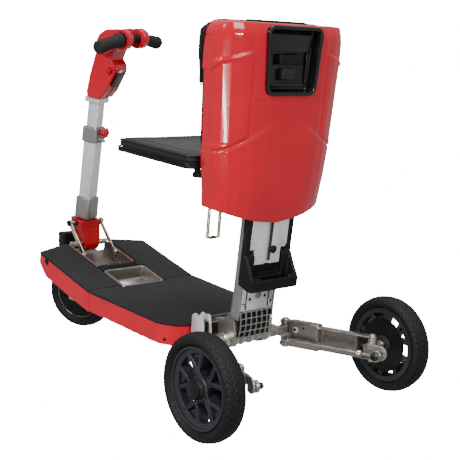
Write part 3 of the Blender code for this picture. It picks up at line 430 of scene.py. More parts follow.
def inset_outline(points, distance):
    """The outline moved inwards, point by point."""
    moved = []
    count = len(points)
    for index, point in enumerate(points):
        tangent = (points[(index + 1) % count] - points[index - 1]).normalized()
        moved.append(point + Vector((-tangent.y, tangent.x)) * distance)
    return moved


def plate(bm, outline, low, high, edge, to_point, place=WORLD):
    """A slab of an outline with rounded rims; to_point turns (u, v, w) into a point."""
    rows = []
    steps = 3
    for step in range(steps + 1):
        angle = math.pi / 2 * step / steps
        ring = inset_outline(outline, edge * (1 - math.sin(angle)))
        rows.append([place @ to_point(p.x, p.y, low + edge * (1 - math.cos(angle))) for p in ring])
    for step in range(steps + 1):
        angle = math.pi / 2 * step / steps
        ring = inset_outline(outline, edge * (1 - math.cos(angle)))
        rows.append([place @ to_point(p.x, p.y, high - edge * (1 - math.sin(angle))) for p in ring])
    loft(bm, rows, True, True, True)


def plane_xz(u, v, w):
    return Vector((u, w, v))


def plane_xy(u, v, w):
    return Vector((u, v, w))


def plane_yz(u, v, w):
    return Vector((w, u, v))


def bolt(bm, start, axis, radius, height, sides=6, washer=0.0, place=WORLD):
    """A bolt's head, or a nut, on an optional washer."""
    spot = place @ along(start, axis)
    base = 0.0
    if washer:
        turned(bm, [(washer, 0.0), (washer, 0.001), (washer - 0.0003, 0.0013)], 24, spot)
        base = 0.0012
    turned(bm, [(radius, base), (radius, base + height * 0.8), (radius * 0.86, base + height)], sides, spot)
    turned(bm, [(radius * 0.45, base + height - 0.0004), (radius * 0.42, base + height + 0.0005)], 12, spot)


def tube_along(bm, points, radius, up, closed=False, sides=8, place=WORLD):
    """A round tube along a path; up keeps its sides from twisting."""
    rows = []
    count = len(points)
    turns = [math.tau * k / sides for k in range(sides)]
    for index, point in enumerate(points):
        before = points[index - 1] if closed or index else point
        after = points[(index + 1) % count] if closed or index < count - 1 else point
        tangent = (after - before).normalized()
        across = tangent.cross(Vector(up)).normalized()
        over = across.cross(tangent)
        rows.append([place @ (point + (across * math.cos(turn) + over * math.sin(turn)) * radius)
                     for turn in turns])
    if closed:
        rows.append(rows[0])
    loft(bm, rows, True, not closed, not closed)


def bar(bm, start, end, wide_start, wide_end, low, high, edge, place):
    """A flat bar with rounded rims between two points of the frame's XY plane."""
    start, end = Vector(start), Vector(end)
    run = (end - start).normalized()
    side = Vector((-run.y, run.x))
    corners = [start - side * wide_start / 2, end - side * wide_end / 2,
               end + side * wide_end / 2, start + side * wide_start / 2]
    outline = rounded_outline(corners, min(wide_start, wide_end) * 0.2, 2)
    plate(bm, outline, low, high, edge, plane_xy, place)


def box_plate(bm, low, high, corner, edge, place):
    """A block with rounded upright corners and rounded rims."""
    outline = rounded_box(low[:2], high[:2], corner, 3)
    plate(bm, outline, low[2], high[2], edge, plane_xy, place)


def ring(bm, inner, outer, low, high, steps, place, soft=0.0004):
    """A round washer or ring with softened edges."""
    profile = [(inner, low), (outer - soft, low), (outer, low + soft), (outer, high - soft),
               (outer - soft, high), (inner + soft, high), (inner, high - soft), (inner, low)]
    turned(bm, profile, steps, place, False)


def moulded(name, nodes, material, body, voxel, passes):
    """The nodes' solids as one moulding with soft corners."""
    bm = bmesh.new()
    for node in nodes:
        bm.from_mesh(NODES[node].data)
    obj = finish_piece(name, bm, material, body, nodes)
    remesh = obj.modifiers.new("skin", "REMESH")
    remesh.mode = "VOXEL"
    remesh.voxel_size = voxel
    remesh.use_smooth_shade = True
    smooth = obj.modifiers.new("soft", "SMOOTH")
    smooth.factor = 0.5
    smooth.iterations = passes
    apply_modifiers(obj)
    obj.data.shade_smooth()
    return obj


def apply_modifiers(obj):
    bpy.context.view_layer.update()
    depsgraph = bpy.context.evaluated_depsgraph_get()
    mesh = bpy.data.meshes.new_from_object(obj.evaluated_get(depsgraph))
    obj.modifiers.clear()
    obj.data = mesh


def smooth_step(value, low, high):
    share = min(1.0, max(0.0, (value - low) / (high - low)))
    return share * share * (3 - 2 * share)


def look_up(stops, value):
    for (low, first), (high, second) in zip(stops, stops[1:]):
        if value <= high:
            return first + (second - first) * (value - low) / (high - low)
    return stops[-1][1]


def distance_to_path(point, path):
    best = 1.0
    for start, end in zip(path, path[1:]):
        start, end = Vector(start), Vector(end)
        run = end - start
        share = min(1.0, max(0.0, (point - start).dot(run) / run.length_squared))
        best = min(best, (start + run * share - point).length)
    return best


# ---------------------------------------------------------------- the back
BACK_HEIGHT = 0.399
BACK_HALF_WIDTH = 0.165
BACK_FRONT, BACK_REAR = -0.06, 0.017
SHELL_WALL = 0.0032
WIDTHS = [(0.0, 0.143), (0.1, 0.145), (0.37, 0.156), (0.385, 0.1545), (0.8, 0.163), (0.815, 0.167),
          (0.835, 0.1672), (0.92, 0.1672), (1.0, 0.165)]
FOOT = [(0.0, 0.0), (0.345, 0.006), (0.69, 0.017), (0.95, 0.029), (1.0, 0.033)]
SECTION = [(0.0, 1.0), (0.3, 0.992), (0.55, 0.95), (0.74, 0.86), (0.87, 0.755), (0.955, 0.61), (0.992, 0.48),
           (1.0, 0.36), (1.0, 0.18), (1.0, 0.0)]
CREASES = [[(0.0365, 0.2505), (0.0365, 0.2075), (0.096, 0.174), (0.15, 0.148)],
           [(0.0365, 0.2505), (0.09, 0.2505)],
           [(0.096, 0.174), (0.103, 0.38)]]


def back_head(across):
    """How high the back's upper edge is at a share of its half-width: level, with round corners."""
    corner = 0.03
    over = max(across * BACK_HALF_WIDTH - (BACK_HALF_WIDTH - corner), 0.0)
    return BACK_HEIGHT - (corner - math.sqrt(max(corner ** 2 - over ** 2, 0.0)))


def shell_relief(x, z, depth):
    """How proud the shell's skin is: the lower body and the two side panels stand out a little."""
    x = abs(x)
    slant = 0.2075 + (0.148 - 0.2075) * (x - 0.0365) / (0.15 - 0.0365)
    lower = 0.0022 * (1 - smooth_step(z, slant - 0.0015, slant + 0.0015)) * smooth_step(x, 0.03, 0.06)
    top = 0.345 - (x - 0.104) * 0.3
    side = smooth_step(x, 0.0985, 0.1015) * smooth_step(z, slant + 0.004, slant + 0.007)
    side *= 1 - smooth_step(z, top - 0.002, top + 0.001)
    side *= smooth_step(depth, 0.4, 0.44)
    line = min(distance_to_path(Vector((x, z)), path) for path in CREASES)
    groove = 0.0011 * max(0.0, 1 - line / 0.0022)
    return lower + 0.0026 * side - groove


def shell_point(across, up, inner=0.0):
    """A point of the shell's skin, from shares of the section and of the height."""
    share = abs(across)
    width_share = look_up([(i / 9, w) for i, (w, _) in enumerate(SECTION)], share)
    depth = look_up([(i / 9, d) for i, (_, d) in enumerate(SECTION)], share)
    low, high = look_up(FOOT, width_share), back_head(width_share)
    tuck = 1.0 - 0.13 * max(0.0, 1.0 - up / 0.22) ** 2 - 0.09 * max(0.0, (up - 0.93) / 0.07) ** 2
    wide = look_up(WIDTHS, up)
    z = low + (high - low) * up
    x = width_share * wide
    y = BACK_FRONT + (BACK_REAR - BACK_FRONT) * depth * tuck
    out = shell_relief(x, z, depth) - inner
    facing = Vector((smooth_step(width_share, 0.8, 1.0), smooth_step(depth, 0.3, 0.8))).normalized()
    x, y = x + facing.x * out, y + facing.y * out
    return Vector((math.copysign(x, across) if across else 0.0, y, z))


def in_hole(point):
    """Whether a point of the rear face lies in the handle's opening."""
    z_low, z_high, half_low, half_high = 0.2648, 0.39, 0.0628, 0.0713
    if point.y <= -0.01 or not z_low < point.z < z_high:
        return False
    half = half_low + (half_high - half_low) * (point.z - z_low) / (z_high - z_low)
    return abs(point.x) < half


def in_notch(point):
    """Whether a point of the front half lies in the notch over the post."""
    return abs(point.x) < 0.066 and point.z < 0.036 and point.y < -0.006


def build_back_shell():
    across_steps, up_steps = 156, 190
    columns = [-1 + 2 * k / across_steps for k in range(across_steps + 1)]
    rows = [[shell_point(u, 0.0) for u in columns]]
    front = [Vector((p.x, BACK_FRONT, p.z)) for p in rows[0]]
    rows.insert(0, [Vector((p.x, (p.y + BACK_FRONT) / 2, p.z)) for p in rows[0]])
    rows.insert(0, front)
    rows += [[shell_point(u, k / up_steps) for u in columns] for k in range(1, up_steps + 1)]
    last = rows[-1]
    rows.append([Vector((p.x, p.y * 0.97 + BACK_FRONT * 0.03, p.z + 0.0008)) for p in last])
    rows.append([Vector((p.x, (p.y + BACK_FRONT) / 2, p.z + 0.001)) for p in last])
    rows.append([Vector((p.x, BACK_FRONT, p.z)) for p in last])
    bm = bmesh.new()
    loft(bm, rows, False)
    bmesh.ops.remove_doubles(bm, verts=bm.verts, dist=0.00012)
    for cut in (in_hole, in_notch):
        faces = [face for face in bm.faces if cut(face.calc_center_median())]
        bmesh.ops.delete(bm, geom=faces, context="FACES")
    obj = finish_piece("glossy_back_shell", bm, "red_paint", "back", ["back_shell"], BACK,
                       smooth=math.radians(60))
    wall = obj.modifiers.new("wall", "SOLIDIFY")
    wall.thickness = SHELL_WALL
    wall.offset = -1.0
    apply_modifiers(obj)
    obj.data.shade_smooth()
    obj.data.set_sharp_from_angle(angle=math.radians(50))


def frame_loop(inset, y, corner=0.013):
    """One loop of the handle's frame: a tapered shape with round corners."""
    top, low, wide_top, wide_low = 0.3928, 0.2655, 0.0706, 0.0622
    corners = [(-wide_low, low), (wide_low, low), (wide_top, top), (-wide_top, top)]
    outline = inset_outline(rounded_outline(corners, corner, 7), inset)
    return [Vector((p.x, y, p.y)) for p in outline]


def build_handle_frame():
    steps = [(0.003, -0.0095), (0.0, -0.008), (0.0, 0.012), (-0.004, 0.013), (-0.0046, 0.0175),
             (-0.0036, 0.0202), (-0.001, 0.0214), (0.0018, 0.0208), (0.0034, 0.019), (0.004, 0.015),
             (0.0048, 0.006), (0.006, 0.0), (0.008, -0.0014)]
    bm = bmesh.new()
    loft(bm, [frame_loop(inset, y) for inset, y in steps], True, True, True)
    lip = rounded_outline([(-0.056, 0.346), (0.054, 0.346), (0.059, 0.381), (-0.059, 0.381)], 0.004, 3)
    plate(bm, lip, -0.0065, 0.0072, 0.0016, plane_xz)
    for x in (-0.0485, 0.047):
        rail = rounded_box((x - 0.003, 0.278), (x + 0.003, 0.345), 0.001, 2)
        plate(bm, rail, -0.0065, 0.0045, 0.001, plane_xz)
    shelf = rounded_box((-0.046, 0.278), (0.044, 0.285), 0.001, 2)
    plate(bm, shelf, -0.0065, 0.006, 0.001, plane_xz)
    finish_piece("handle_bezel", bm, "gloss_black", "back", ["handle_frame"], BACK)
    bm = bmesh.new()
    grip = rounded_box((-0.032, 0.3215), (0.032, 0.3415), 0.004, 4)
    plate(bm, grip, 0.0005, 0.012, 0.0035, plane_xz)
    for x in (-0.027, 0.027):
        arm = rounded_box((x - 0.004, 0.325), (x + 0.004, 0.338), 0.001, 2)
        plate(bm, arm, -0.0055, 0.003, 0.0005, plane_xz)
    finish_piece("pull_handle_moulding", bm, "black_plastic", "pull_handle", ["pull_handle"], BACK)
    bm = bmesh.new()
    latch = rounded_box((-0.016, 0.292), (0.02, 0.314), 0.003, 4)
    plate(bm, latch, -0.0055, 0.009, 0.002, plane_xz)
    rib = rounded_box((-0.011, 0.3005), (0.015, 0.3035), 0.001, 2)
    plate(bm, rib, 0.008, 0.01, 0.0008, plane_xz)
    finish_piece("release_latch_moulding", bm, "grey_plastic", "release_latch", ["release_latch"], BACK)


# ---------------------------------------------------------------- cushions
def puffed(name, bm, body, stands_for, place, cap, pressure=4.0, voxel=0.005):
    """A stuffed cover: the closed shape is blown up as cloth, and held to a small swelling."""
    bmesh.ops.transform(bm, matrix=place, verts=bm.verts)
    obj = finish_piece(name, bm, "seat_vinyl", body, stands_for)
    remesh = obj.modifiers.new("skin", "REMESH")
    remesh.mode = "VOXEL"
    remesh.voxel_size = voxel
    apply_modifiers(obj)
    rest = [vertex.co.copy() for vertex in obj.data.vertices]
    scene = bpy.context.scene
    cloth = obj.modifiers.new("cover", "CLOTH")
    cloth.settings.use_pressure = True
    cloth.settings.uniform_pressure_force = pressure
    cloth.settings.effector_weights.gravity = 0.0
    cloth.settings.quality = 6
    cloth.point_cache.frame_start = 1
    cloth.point_cache.frame_end = CLOTH_FRAMES
    for number in range(1, CLOTH_FRAMES + 1):
        scene.frame_set(number)
    apply_modifiers(obj)
    scene.frame_set(1)
    for vertex, start in zip(obj.data.vertices, rest):
        moved = vertex.co - start
        if moved.length > cap:
            vertex.co = start + moved.normalized() * cap
    smooth = obj.modifiers.new("even", "SMOOTH")
    smooth.iterations = 4
    smooth.factor = 0.5
    finer = obj.modifiers.new("finer", "SUBSURF")
    finer.levels = 1
    finer.render_levels = 1
    apply_modifiers(obj)
    obj.data.shade_smooth()
    return obj


# ---------------------------------------------------------------- wheels
def wheel_frame(centre, sign):
    """Z runs out along the axle, and X is up."""
    out, up = Vector((sign, 0, 0)), Vector((0, 0, 1))
    return Matrix.Translation(centre) @ Matrix((up, out.cross(up), out)).transposed().to_4x4()


def tyre_section(radius, inner, half):
    """The tyre's outline from one bead to the other, as (radius, offset)."""
    rise = 0.0135
    side = []
    for step in range(6):
        share = step / 5
        foot = inner + 0.0012
        bulge = half - 0.007 * (1 - math.sin(math.pi / 2 * share))
        side.append((foot + (radius - rise - foot) * share, bulge))
    for step in range(1, 13):
        angle = math.pi / 2 * step / 12
        side.append((radius - rise + 0.86 * rise * math.sin(angle), half - rise * (1 - math.cos(angle))))
    flat = half - rise
    crown = [(radius - 0.14 * rise * (1 - 2 * k / 14) ** 2, flat * (1 - 2 * k / 14)) for k in range(1, 14)]
    return side + crown + [(r, -w) for r, w in reversed(side)]


def groove_depth(turn, across, grooves):
    """Slanted zig-zag grooves that run over the tread from edge to edge."""
    zigzag = abs((across * 1.5 + 10.25) % 1.0 - 0.5) * 2 - 0.5
    phase = (turn * grooves + 1.05 * zigzag + 0.55 * across) % 1.0
    return 1 - smooth_step(abs(phase - 0.5), 0.05, 0.13)


def build_tyre(name, node, place, radius, inner, width, grooves, body):
    section = tyre_section(radius, inner, width / 2)
    steps = grooves * 12
    bm = bmesh.new()
    columns = []
    for r, w in section:
        reach = smooth_step(r, radius - 0.0125, radius - 0.0055)
        column = []
        for k in range(steps):
            depth = TREAD_DEPTH * reach * groove_depth(k / steps, w / (width / 2), grooves)
            turn = math.tau * k / steps
            column.append(place @ Vector(((r - depth) * math.cos(turn), (r - depth) * math.sin(turn),
                                          w - 0.4 * depth * (1 if w > 0 else -1) * abs(w) / (width / 2))))
        columns.append(column)
    for w in (-width / 2 + 0.009, width / 2 - 0.009):
        columns.append([place @ point for point in circle(inner, w, steps)])
    columns.append(columns[0])
    loft(bm, columns)
    bmesh.ops.remove_doubles(bm, verts=bm.verts, dist=0.00001)
    for side in (1, -1):
        bead = [(0.008, 0.0042), (0.0088, 0.0022), (0.01, 0.0024), (0.011, 0.0044)]
        turned(bm, [(inner + rise, side * (width / 2 - sunk)) for rise, sunk in bead], 72, place, False)
    finish_piece(name, bm, "tyre_rubber", body, [node], smooth=math.radians(50))


def build_rear_wheel(side, sign):
    node = f"rear_rim_{side}"
    low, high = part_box(f"rear_tyre_{side}")
    centre = (Vector(low) + Vector(high)) / 2
    place = wheel_frame(centre, sign)
    body = f"rear_wheel_{side}"
    build_tyre(f"treaded_tyre_{side}", f"rear_tyre_{side}", place, REAR_TYRE_R, REAR_RIM_R, REAR_TYRE_WIDTH,
               REAR_GROOVES, body)
    bm = bmesh.new()
    rim = REAR_RIM_R - 0.0004
    turned(bm, [(0.07, -0.0168), (rim, -0.0168), (rim, 0.0148), (rim - 0.001, 0.0172),
                (rim - 0.0035, 0.0178), (rim - 0.0052, 0.0166), (rim - 0.0062, 0.012), (0.0712, 0.01),
                (0.0672, 0.0094),
                (0.066, 0.0082), (0.066, -0.006), (0.069, -0.009), (0.07, -0.0168)], 96, place, False)
    turned(bm, [(0.0076, -0.022), (0.0195, -0.022), (0.0205, -0.0205), (0.022, -0.006), (0.025, 0.004),
                (0.0248, 0.01), (0.0235, 0.012), (0.0212, 0.0128), (0.0205, 0.02), (0.0195, 0.0218),
                (0.0076, 0.0218), (0.0076, -0.022)], 48, place, False)
    for index in range(5):
        turn = math.radians(14 * sign + 72 * index)
        spin = place @ Matrix.Rotation(turn, 4, "Z")
        bar(bm, (0.02, 0), (0.037, 0), 0.015, 0.0125, -0.0155, 0.0098, 0.0018, spin)
        for lean in (-1, 1):
            foot = (0.033, lean * 0.0022)
            tip = (0.069 * math.cos(0.315), lean * 0.069 * math.sin(0.315))
            bar(bm, foot, tip, 0.0085, 0.0098, -0.0155, 0.0094, 0.0018, spin)
            edge = [Vector((0.0245 * math.cos(lean * a), 0.0245 * math.sin(lean * a), 0.0094))
                    for a in (0.63, 0.48)]
            edge += [Vector((x, lean * y, 0.0098))
                     for x, y in ((0.03, 0.0076), (0.038, 0.0086), (0.05, 0.0135), (0.064, 0.022))]
            tube_along(bm, edge, 0.0013, (0, 0, 1), False, 6, spin)
        pocket = [(0.055, -0.008), (0.0655, -0.014), (0.0655, 0.014), (0.055, 0.008)]
        plate(bm, rounded_outline(pocket, 0.002, 2), -0.004, 0.003, 0.0008, plane_xy, spin)
    finish_piece(f"spoked_rim_{side}", bm, "rim_plastic", body, [node])
    bm = bmesh.new()
    ring(bm, 0.019, 0.0592, -0.016, -0.0148, 60, place)
    finish_piece(f"rim_web_{side}", bm, "black_plastic", body)
    bm = bmesh.new()
    dome = [(0.019, 0.022), (0.0192, 0.0238), (0.0178, 0.0262), (0.012, 0.0274), (0.003, 0.0277)]
    turned(bm, dome, 12, place)
    ring(bm, 0.015, 0.02, 0.0216, 0.0232, 32, place)
    finish_piece(f"hub_dome_{side}", bm, "black_plastic", body, [f"hub_cap_{side}"])


def build_front_wheel():
    place = COLUMN @ wheel_frame(HUB, 1)
    build_tyre("treaded_front_tyre", "front_tyre", place, FRONT_TYRE_R, FRONT_RIM_R, FRONT_TYRE_WIDTH,
               FRONT_GROOVES, "front_wheel")
    bm = bmesh.new()
    for side in (1, -1):
        shape = [(0.0062, 0.0232), (0.0215, 0.0232), (0.0232, 0.0222), (0.0262, 0.0172), (0.03, 0.016),
                 (0.0305, 0.015), (0.041, 0.015), (0.0418, 0.0162), (0.056, 0.0156), (0.0572, 0.014),
                 (0.064, 0.0136), (0.0654, 0.0128)]
        turned(bm, [(r, side * h) for r, h in shape], 72, place, False)
        for index in range(8):
            turn = math.tau * (index + 0.5) / 8
            spot = Vector((0.049 * math.cos(turn), 0.049 * math.sin(turn), side * 0.0156))
            bolt(bm, spot, (0, 0, side), 0.003, 0.0018, 6, 0.004, place)
    turned(bm, [(0.0654, 0.0128), (0.0656, 0.011), (0.0656, -0.011), (0.0654, -0.0128)], 72, place, False)
    finish_piece("hub_motor_shell", bm, "black_plastic", "front_wheel", ["hub_motor"])
    bm = bmesh.new()
    for side in (1, -1):
        low, high = sorted((side * 0.013, side * 0.0158))
        ring(bm, 0.0644, 0.0656, low, high, 72, place)
    finish_piece("front_rim_rings", bm, "cast_aluminium", "front_wheel")


# ---------------------------------------------------------------- decks
def both_sides(half):
    """The closed outline from its half on the left; the ends lie on the middle line."""
    return [(u, v) for u, v in half] + [(-u, v) for u, v in reversed(half) if abs(u) > 1e-6]


def arc(centre, radius, start, end, steps):
    turns = [math.radians(start + (end - start) * k / steps) for k in range(steps + 1)]
    return [(centre[0] + radius * math.cos(t), centre[1] + radius * math.sin(t)) for t in turns]


def turned_left(points):
    """The outline anticlockwise."""
    area = sum(a[0] * b[1] - b[0] * a[1] for a, b in zip(points, points[1:] + points[:1]))
    return list(points) if area > 0 else list(reversed(points))


def rubber_mat(name, node, outline, place, body):
    """A rubber mat with a soft rim and a thin turned-down edge."""
    bm = bmesh.new()
    points = [Vector(p) for p in turned_left(outline)]
    plate(bm, points, -0.004, 0.0, 0.0011, plane_xy, place)
    plate(bm, inset_outline(points, -0.0006), -0.0064, -0.0024, 0.0006, plane_xy, place)
    finish_piece(name, bm, "black_rubber", body, [node])


def build_mats():
    half = [(0.155, 0.0015), (0.1548, 0.02), (0.148, 0.257)]
    half += arc((0.083, 0.257), 0.065, 0, 90, 14)[1:] + [(0.0, 0.322)]
    outline = [(0.0645, 0.0115), (0.0645, 0.0015)] + half
    rubber_mat("rear_mat", "rear_deck_mat", both_sides(outline), REAR_DECK, "rear_frame")
    for side, sign in SIDES:
        corners = [(0.0635, -0.0015), (0.157, -0.2335), (0.075, -0.262), (0.0635, -0.2625)]
        corners.insert(1, (0.155, -0.0015))
        points = turned_left([(sign * u, v) for u, v in corners])
        soft = [0.004 if abs(u) > 0.14 and v < -0.1 else 0.001 for u, v in points]
        rounded = [tuple(p) for p in rounded_outline(points, soft, 3)]
        rubber_mat(f"front_mat_{side}", f"front_deck_mat_{side}", rounded, FRONT_DECK, "front_deck")


def build_pans():
    # The pans take the red paint whose colour is painted brighter, as painted light.
    for node, body in (("rear_deck_pan", "rear_frame"), ("front_deck_pan", "front_deck")):
        moulded(f"rounded_{node}", [node], "lit_red_deck", body, 0.0021, 5)


def build_front_trays():
    place = FRONT_DECK
    bm = bmesh.new()
    wide, near, far = 0.0615, 0.0105, -0.088
    rim = rounded_box((-wide, far), (wide, near), 0.01, 6)
    steps = [(0.0, -0.034), (0.0, -0.0016), (0.0006, -0.0004), (0.002, 0.0012), (0.0046, 0.0014),
             (0.0062, 0.0004), (0.007, -0.0022), (0.0085, -0.015), (0.0105, -0.027), (0.015, -0.03)]
    rows = [[place @ Vector((p.x, p.y, z)) for p in inset_outline(rim, d)] for d, z in steps]
    loft(bm, rows, True, True, True)
    finish_piece("cast_tray", bm, "bronze_aluminium", "front_deck", ["storage_tray"])
    moulded("trough_moulding", ["tiller_trough"], "bronze_aluminium", "front_deck", 0.0012, 3)
    moulded("crossbar_moulding", ["trough_crossbar"], "black_plastic", "front_deck", 0.001, 4)
    bm = bmesh.new()
    for k in range(9):
        x = -0.048 + k * 0.012
        box_plate(bm, (x - 0.0025, -0.1145, 0.001), (x + 0.0025, -0.0905, 0.003), 0.001, 0.0006, place)
    finish_piece("crossbar_teeth", bm, "black_plastic", "front_deck")


def build_deck_details():
    bm = bmesh.new()
    cap = along((0.1562, -0.3384, 0.21), (1, 0.02, -0.1))
    turned(bm, [(0.009, -0.001), (0.009, 0.0012), (0.0078, 0.0022), (0.002, 0.0026)], 32, cap)
    finish_piece("front_pan_cap", bm, "black_plastic", "front_deck")
    bm = bmesh.new()
    turned(bm, [(0.0032, -0.001), (0.0032, 0.0006), (0.0024, 0.0011)], 20,
           along((0.1392, 0.1417, 0.1144), (0.8, 0.6, 0)))
    finish_piece("rear_pan_screw", bm, "black_plastic", "rear_frame")
    bm = bmesh.new()
    low, high = at(0.0, 0.255, 0.0), at(0.0, 0.215, 0.0)
    box_plate(bm, (-0.07, low.y, 0.13), (0.07, high.y, 0.156), 0.006, 0.0016, WORLD)
    finish_piece("rear_housing", bm, "black_plastic", "rear_frame")
    bm = bmesh.new()
    rim = rounded_box((-0.069, low.y), (0.069, high.y), 0.006, 4)
    tube_along(bm, [Vector((p.x, p.y, 0.1566)) for p in rim], 0.0018, (0, 0, 1), True, 8)
    finish_piece("rear_housing_rim", bm, "cast_aluminium", "rear_frame")


# ---------------------------------------------------------------- seat and back pad
def relieve(obj, place, shape):
    """Presses creases and hollows into a finished cushion; shape gives the drop at a local point."""
    inverse = place.inverted()
    up = place.to_3x3() @ Vector((0, 0, 1))
    for vertex in obj.data.vertices:
        vertex.co -= up * shape(inverse @ vertex.co)


def seat_drop(point):
    """How far the seat's top drops: a dished middle inside a pressed line."""
    if point.z < 0.022:
        return 0.0
    inner_x, front, rear = 0.146, -0.238, -0.036
    outside = max(abs(point.x) - inner_x, front - point.y, point.y - rear)
    dish = 0.0038 * smooth_step(-outside, 0.0, 0.03)
    line = 0.0026 * (1 - smooth_step(abs(outside), 0.0, 0.0055))
    return dish + line


def build_seat():
    wide, deep = 0.18, 0.262
    corners = [(-wide, -deep), (wide, -deep), (wide, 0.0), (-wide, 0.0)]
    outline = rounded_outline(corners, [0.013, 0.013, 0.024, 0.024], 6)
    bm = bmesh.new()
    plate(bm, inset_outline(outline, 0.0022), 0.0086, 0.0282, 0.006, plane_xy)
    cushion = puffed("seat_pad", bm, "seat", ["seat_cushion"], SEAT, 0.0022)
    relieve(cushion, SEAT, seat_drop)
    bm = bmesh.new()
    for inset, z in ((0.0034, 0.0252), (0.0014, 0.0104)):
        path = [Vector((p.x, p.y, z)) for p in inset_outline(outline, inset)]
        tube_along(bm, path, PIPING_R, (0, 0, 1), True, 8, SEAT)
    finish_piece("seat_piping", bm, "black_plastic", "seat")
    bm = bmesh.new()
    plate(bm, inset_outline(outline, 0.0008), 0.0, 0.008, 0.0022, plane_xy, SEAT)
    for x in (-0.142, 0.142):
        bolt(bm, (x, -0.03, 0.0004), (0, 0, -1), 0.005, 0.003, 6, 0.008, SEAT)
    finish_piece("seat_pan", bm, "black_plastic", "seat", ["seat_board"])


def back_edge(inset, low, high, steps=26):
    """The pad's outline: the back's own sides between two heights, and its head."""
    half = []
    for k in range(steps + 1):
        z = low + (high - 0.018 - low) * k / steps
        half.append((look_up(WIDTHS, z / BACK_HEIGHT) - inset, z))
    wide = half[-1][0]
    for k in range(1, 13):
        across = 1 - k / 12
        top = high - 0.018 * max(0.0, (across - 0.72) / 0.28) ** 2
        half.append((wide * across if k < 12 else 0.0, top))
    half.insert(0, (0.0, low))
    return both_sides(half)


def build_back_pad():
    front = -0.065
    outline = [Vector(p) for p in turned_left(back_edge(-0.003, 0.272, 0.4))]
    bm = bmesh.new()
    plate(bm, outline, front - 0.016, front - 0.0002, 0.005, plane_xz)
    puffed("back_pad_cushion", bm, "back", ["back_pad"], BACK, 0.002)
    bm = bmesh.new()
    lower = [Vector(p) for p in turned_left(back_edge(0.006, 0.152, 0.272))]
    plate(bm, lower, front - 0.0045, front - 0.0004, 0.0014, plane_xz, BACK)
    path = [Vector((p.x, front - 0.0012, p.y)) for p in inset_outline(outline, 0.0004)]
    tube_along(bm, path, PIPING_R, (0, 1, 0), True, 8, BACK)
    finish_piece("back_pad_piping", bm, "black_plastic", "back")
    bm = bmesh.new()
    box_plate(bm, (-0.076, -0.063, 0.396), (0.07, -0.03, 0.4035), 0.01, 0.0022, BACK)
    finish_piece("back_top_strip", bm, "black_plastic", "back")


# ---------------------------------------------------------------- tiller head
HEAD_RING = Vector((0.0, 0.083, 0.346))


def grip_root(sign):
    """Where a grip starts, and which way it points: outwards, drooping and swept back a little."""
    droop, sweep = math.radians(10), math.radians(-3)
    out = Vector((sign * math.cos(droop), math.sin(sweep), -math.sin(droop))).normalized()
    return HEAD_RING + Vector((sign * 0.046, 0, 0)), out


def build_head():
    moulded("head_moulding", ["tiller_head"], "red_paint", "upper_column", 0.00125, 7)
    turn = COLUMN @ along(HEAD_RING, (1, 0, 0))
    bm = bmesh.new()
    for sign in (1, -1):
        for low, high in ((0.0262, 0.029), (0.044, 0.047)):
            a, b = sorted((sign * low, sign * high))
            ring(bm, 0.0195, 0.0252, a, b, 48, turn, 0.0008)
    finish_piece("head_ring_lips", bm, "red_paint", "upper_column")
    bm = bmesh.new()
    for k in range(21):
        x = -0.023 + k * 0.0023
        ring(bm, 0.01, 0.0132, x - 0.0008, x + 0.0008, 32, turn, 0.0003)
    turned(bm, [(0.0112, -0.046), (0.0112, 0.046)], 32, turn)
    for sign in (1, -1):
        low, high = sorted((sign * 0.0462, sign * 0.0478))
        ring(bm, 0.01, 0.017, low, high, 32, turn)
        root, out = grip_root(sign)
        turned(bm, [(0.0108, -0.003), (0.0108, 0.08)], 24, COLUMN @ along(root, out))
    finish_piece("handlebar_core", bm, "black_plastic", "upper_column", ["handlebar"])
    for side, sign in SIDES:
        root, out = grip_root(sign)
        place = COLUMN @ along(root + out * 0.004, out)
        bm = bmesh.new()
        shape = [(0.0118, 0.0), (0.015, 0.0), (0.0172, 0.002), (0.0176, 0.006), (0.0165, 0.011)]
        for k in range(44):
            h = 0.0125 + k * 0.0016
            swell = 0.0142 + 0.0018 * smooth_step(h, 0.03, 0.08)
            shape.append((swell + (0.0005 if k % 2 else -0.0002), h))
        shape += [(0.0166, 0.084), (0.015, 0.0868), (0.0118, 0.088), (0.005, 0.0882)]
        turned(bm, shape, 40, place)
        finish_piece(f"ribbed_{side}_grip", bm, "black_rubber", "upper_column", [f"grip_{side}"])


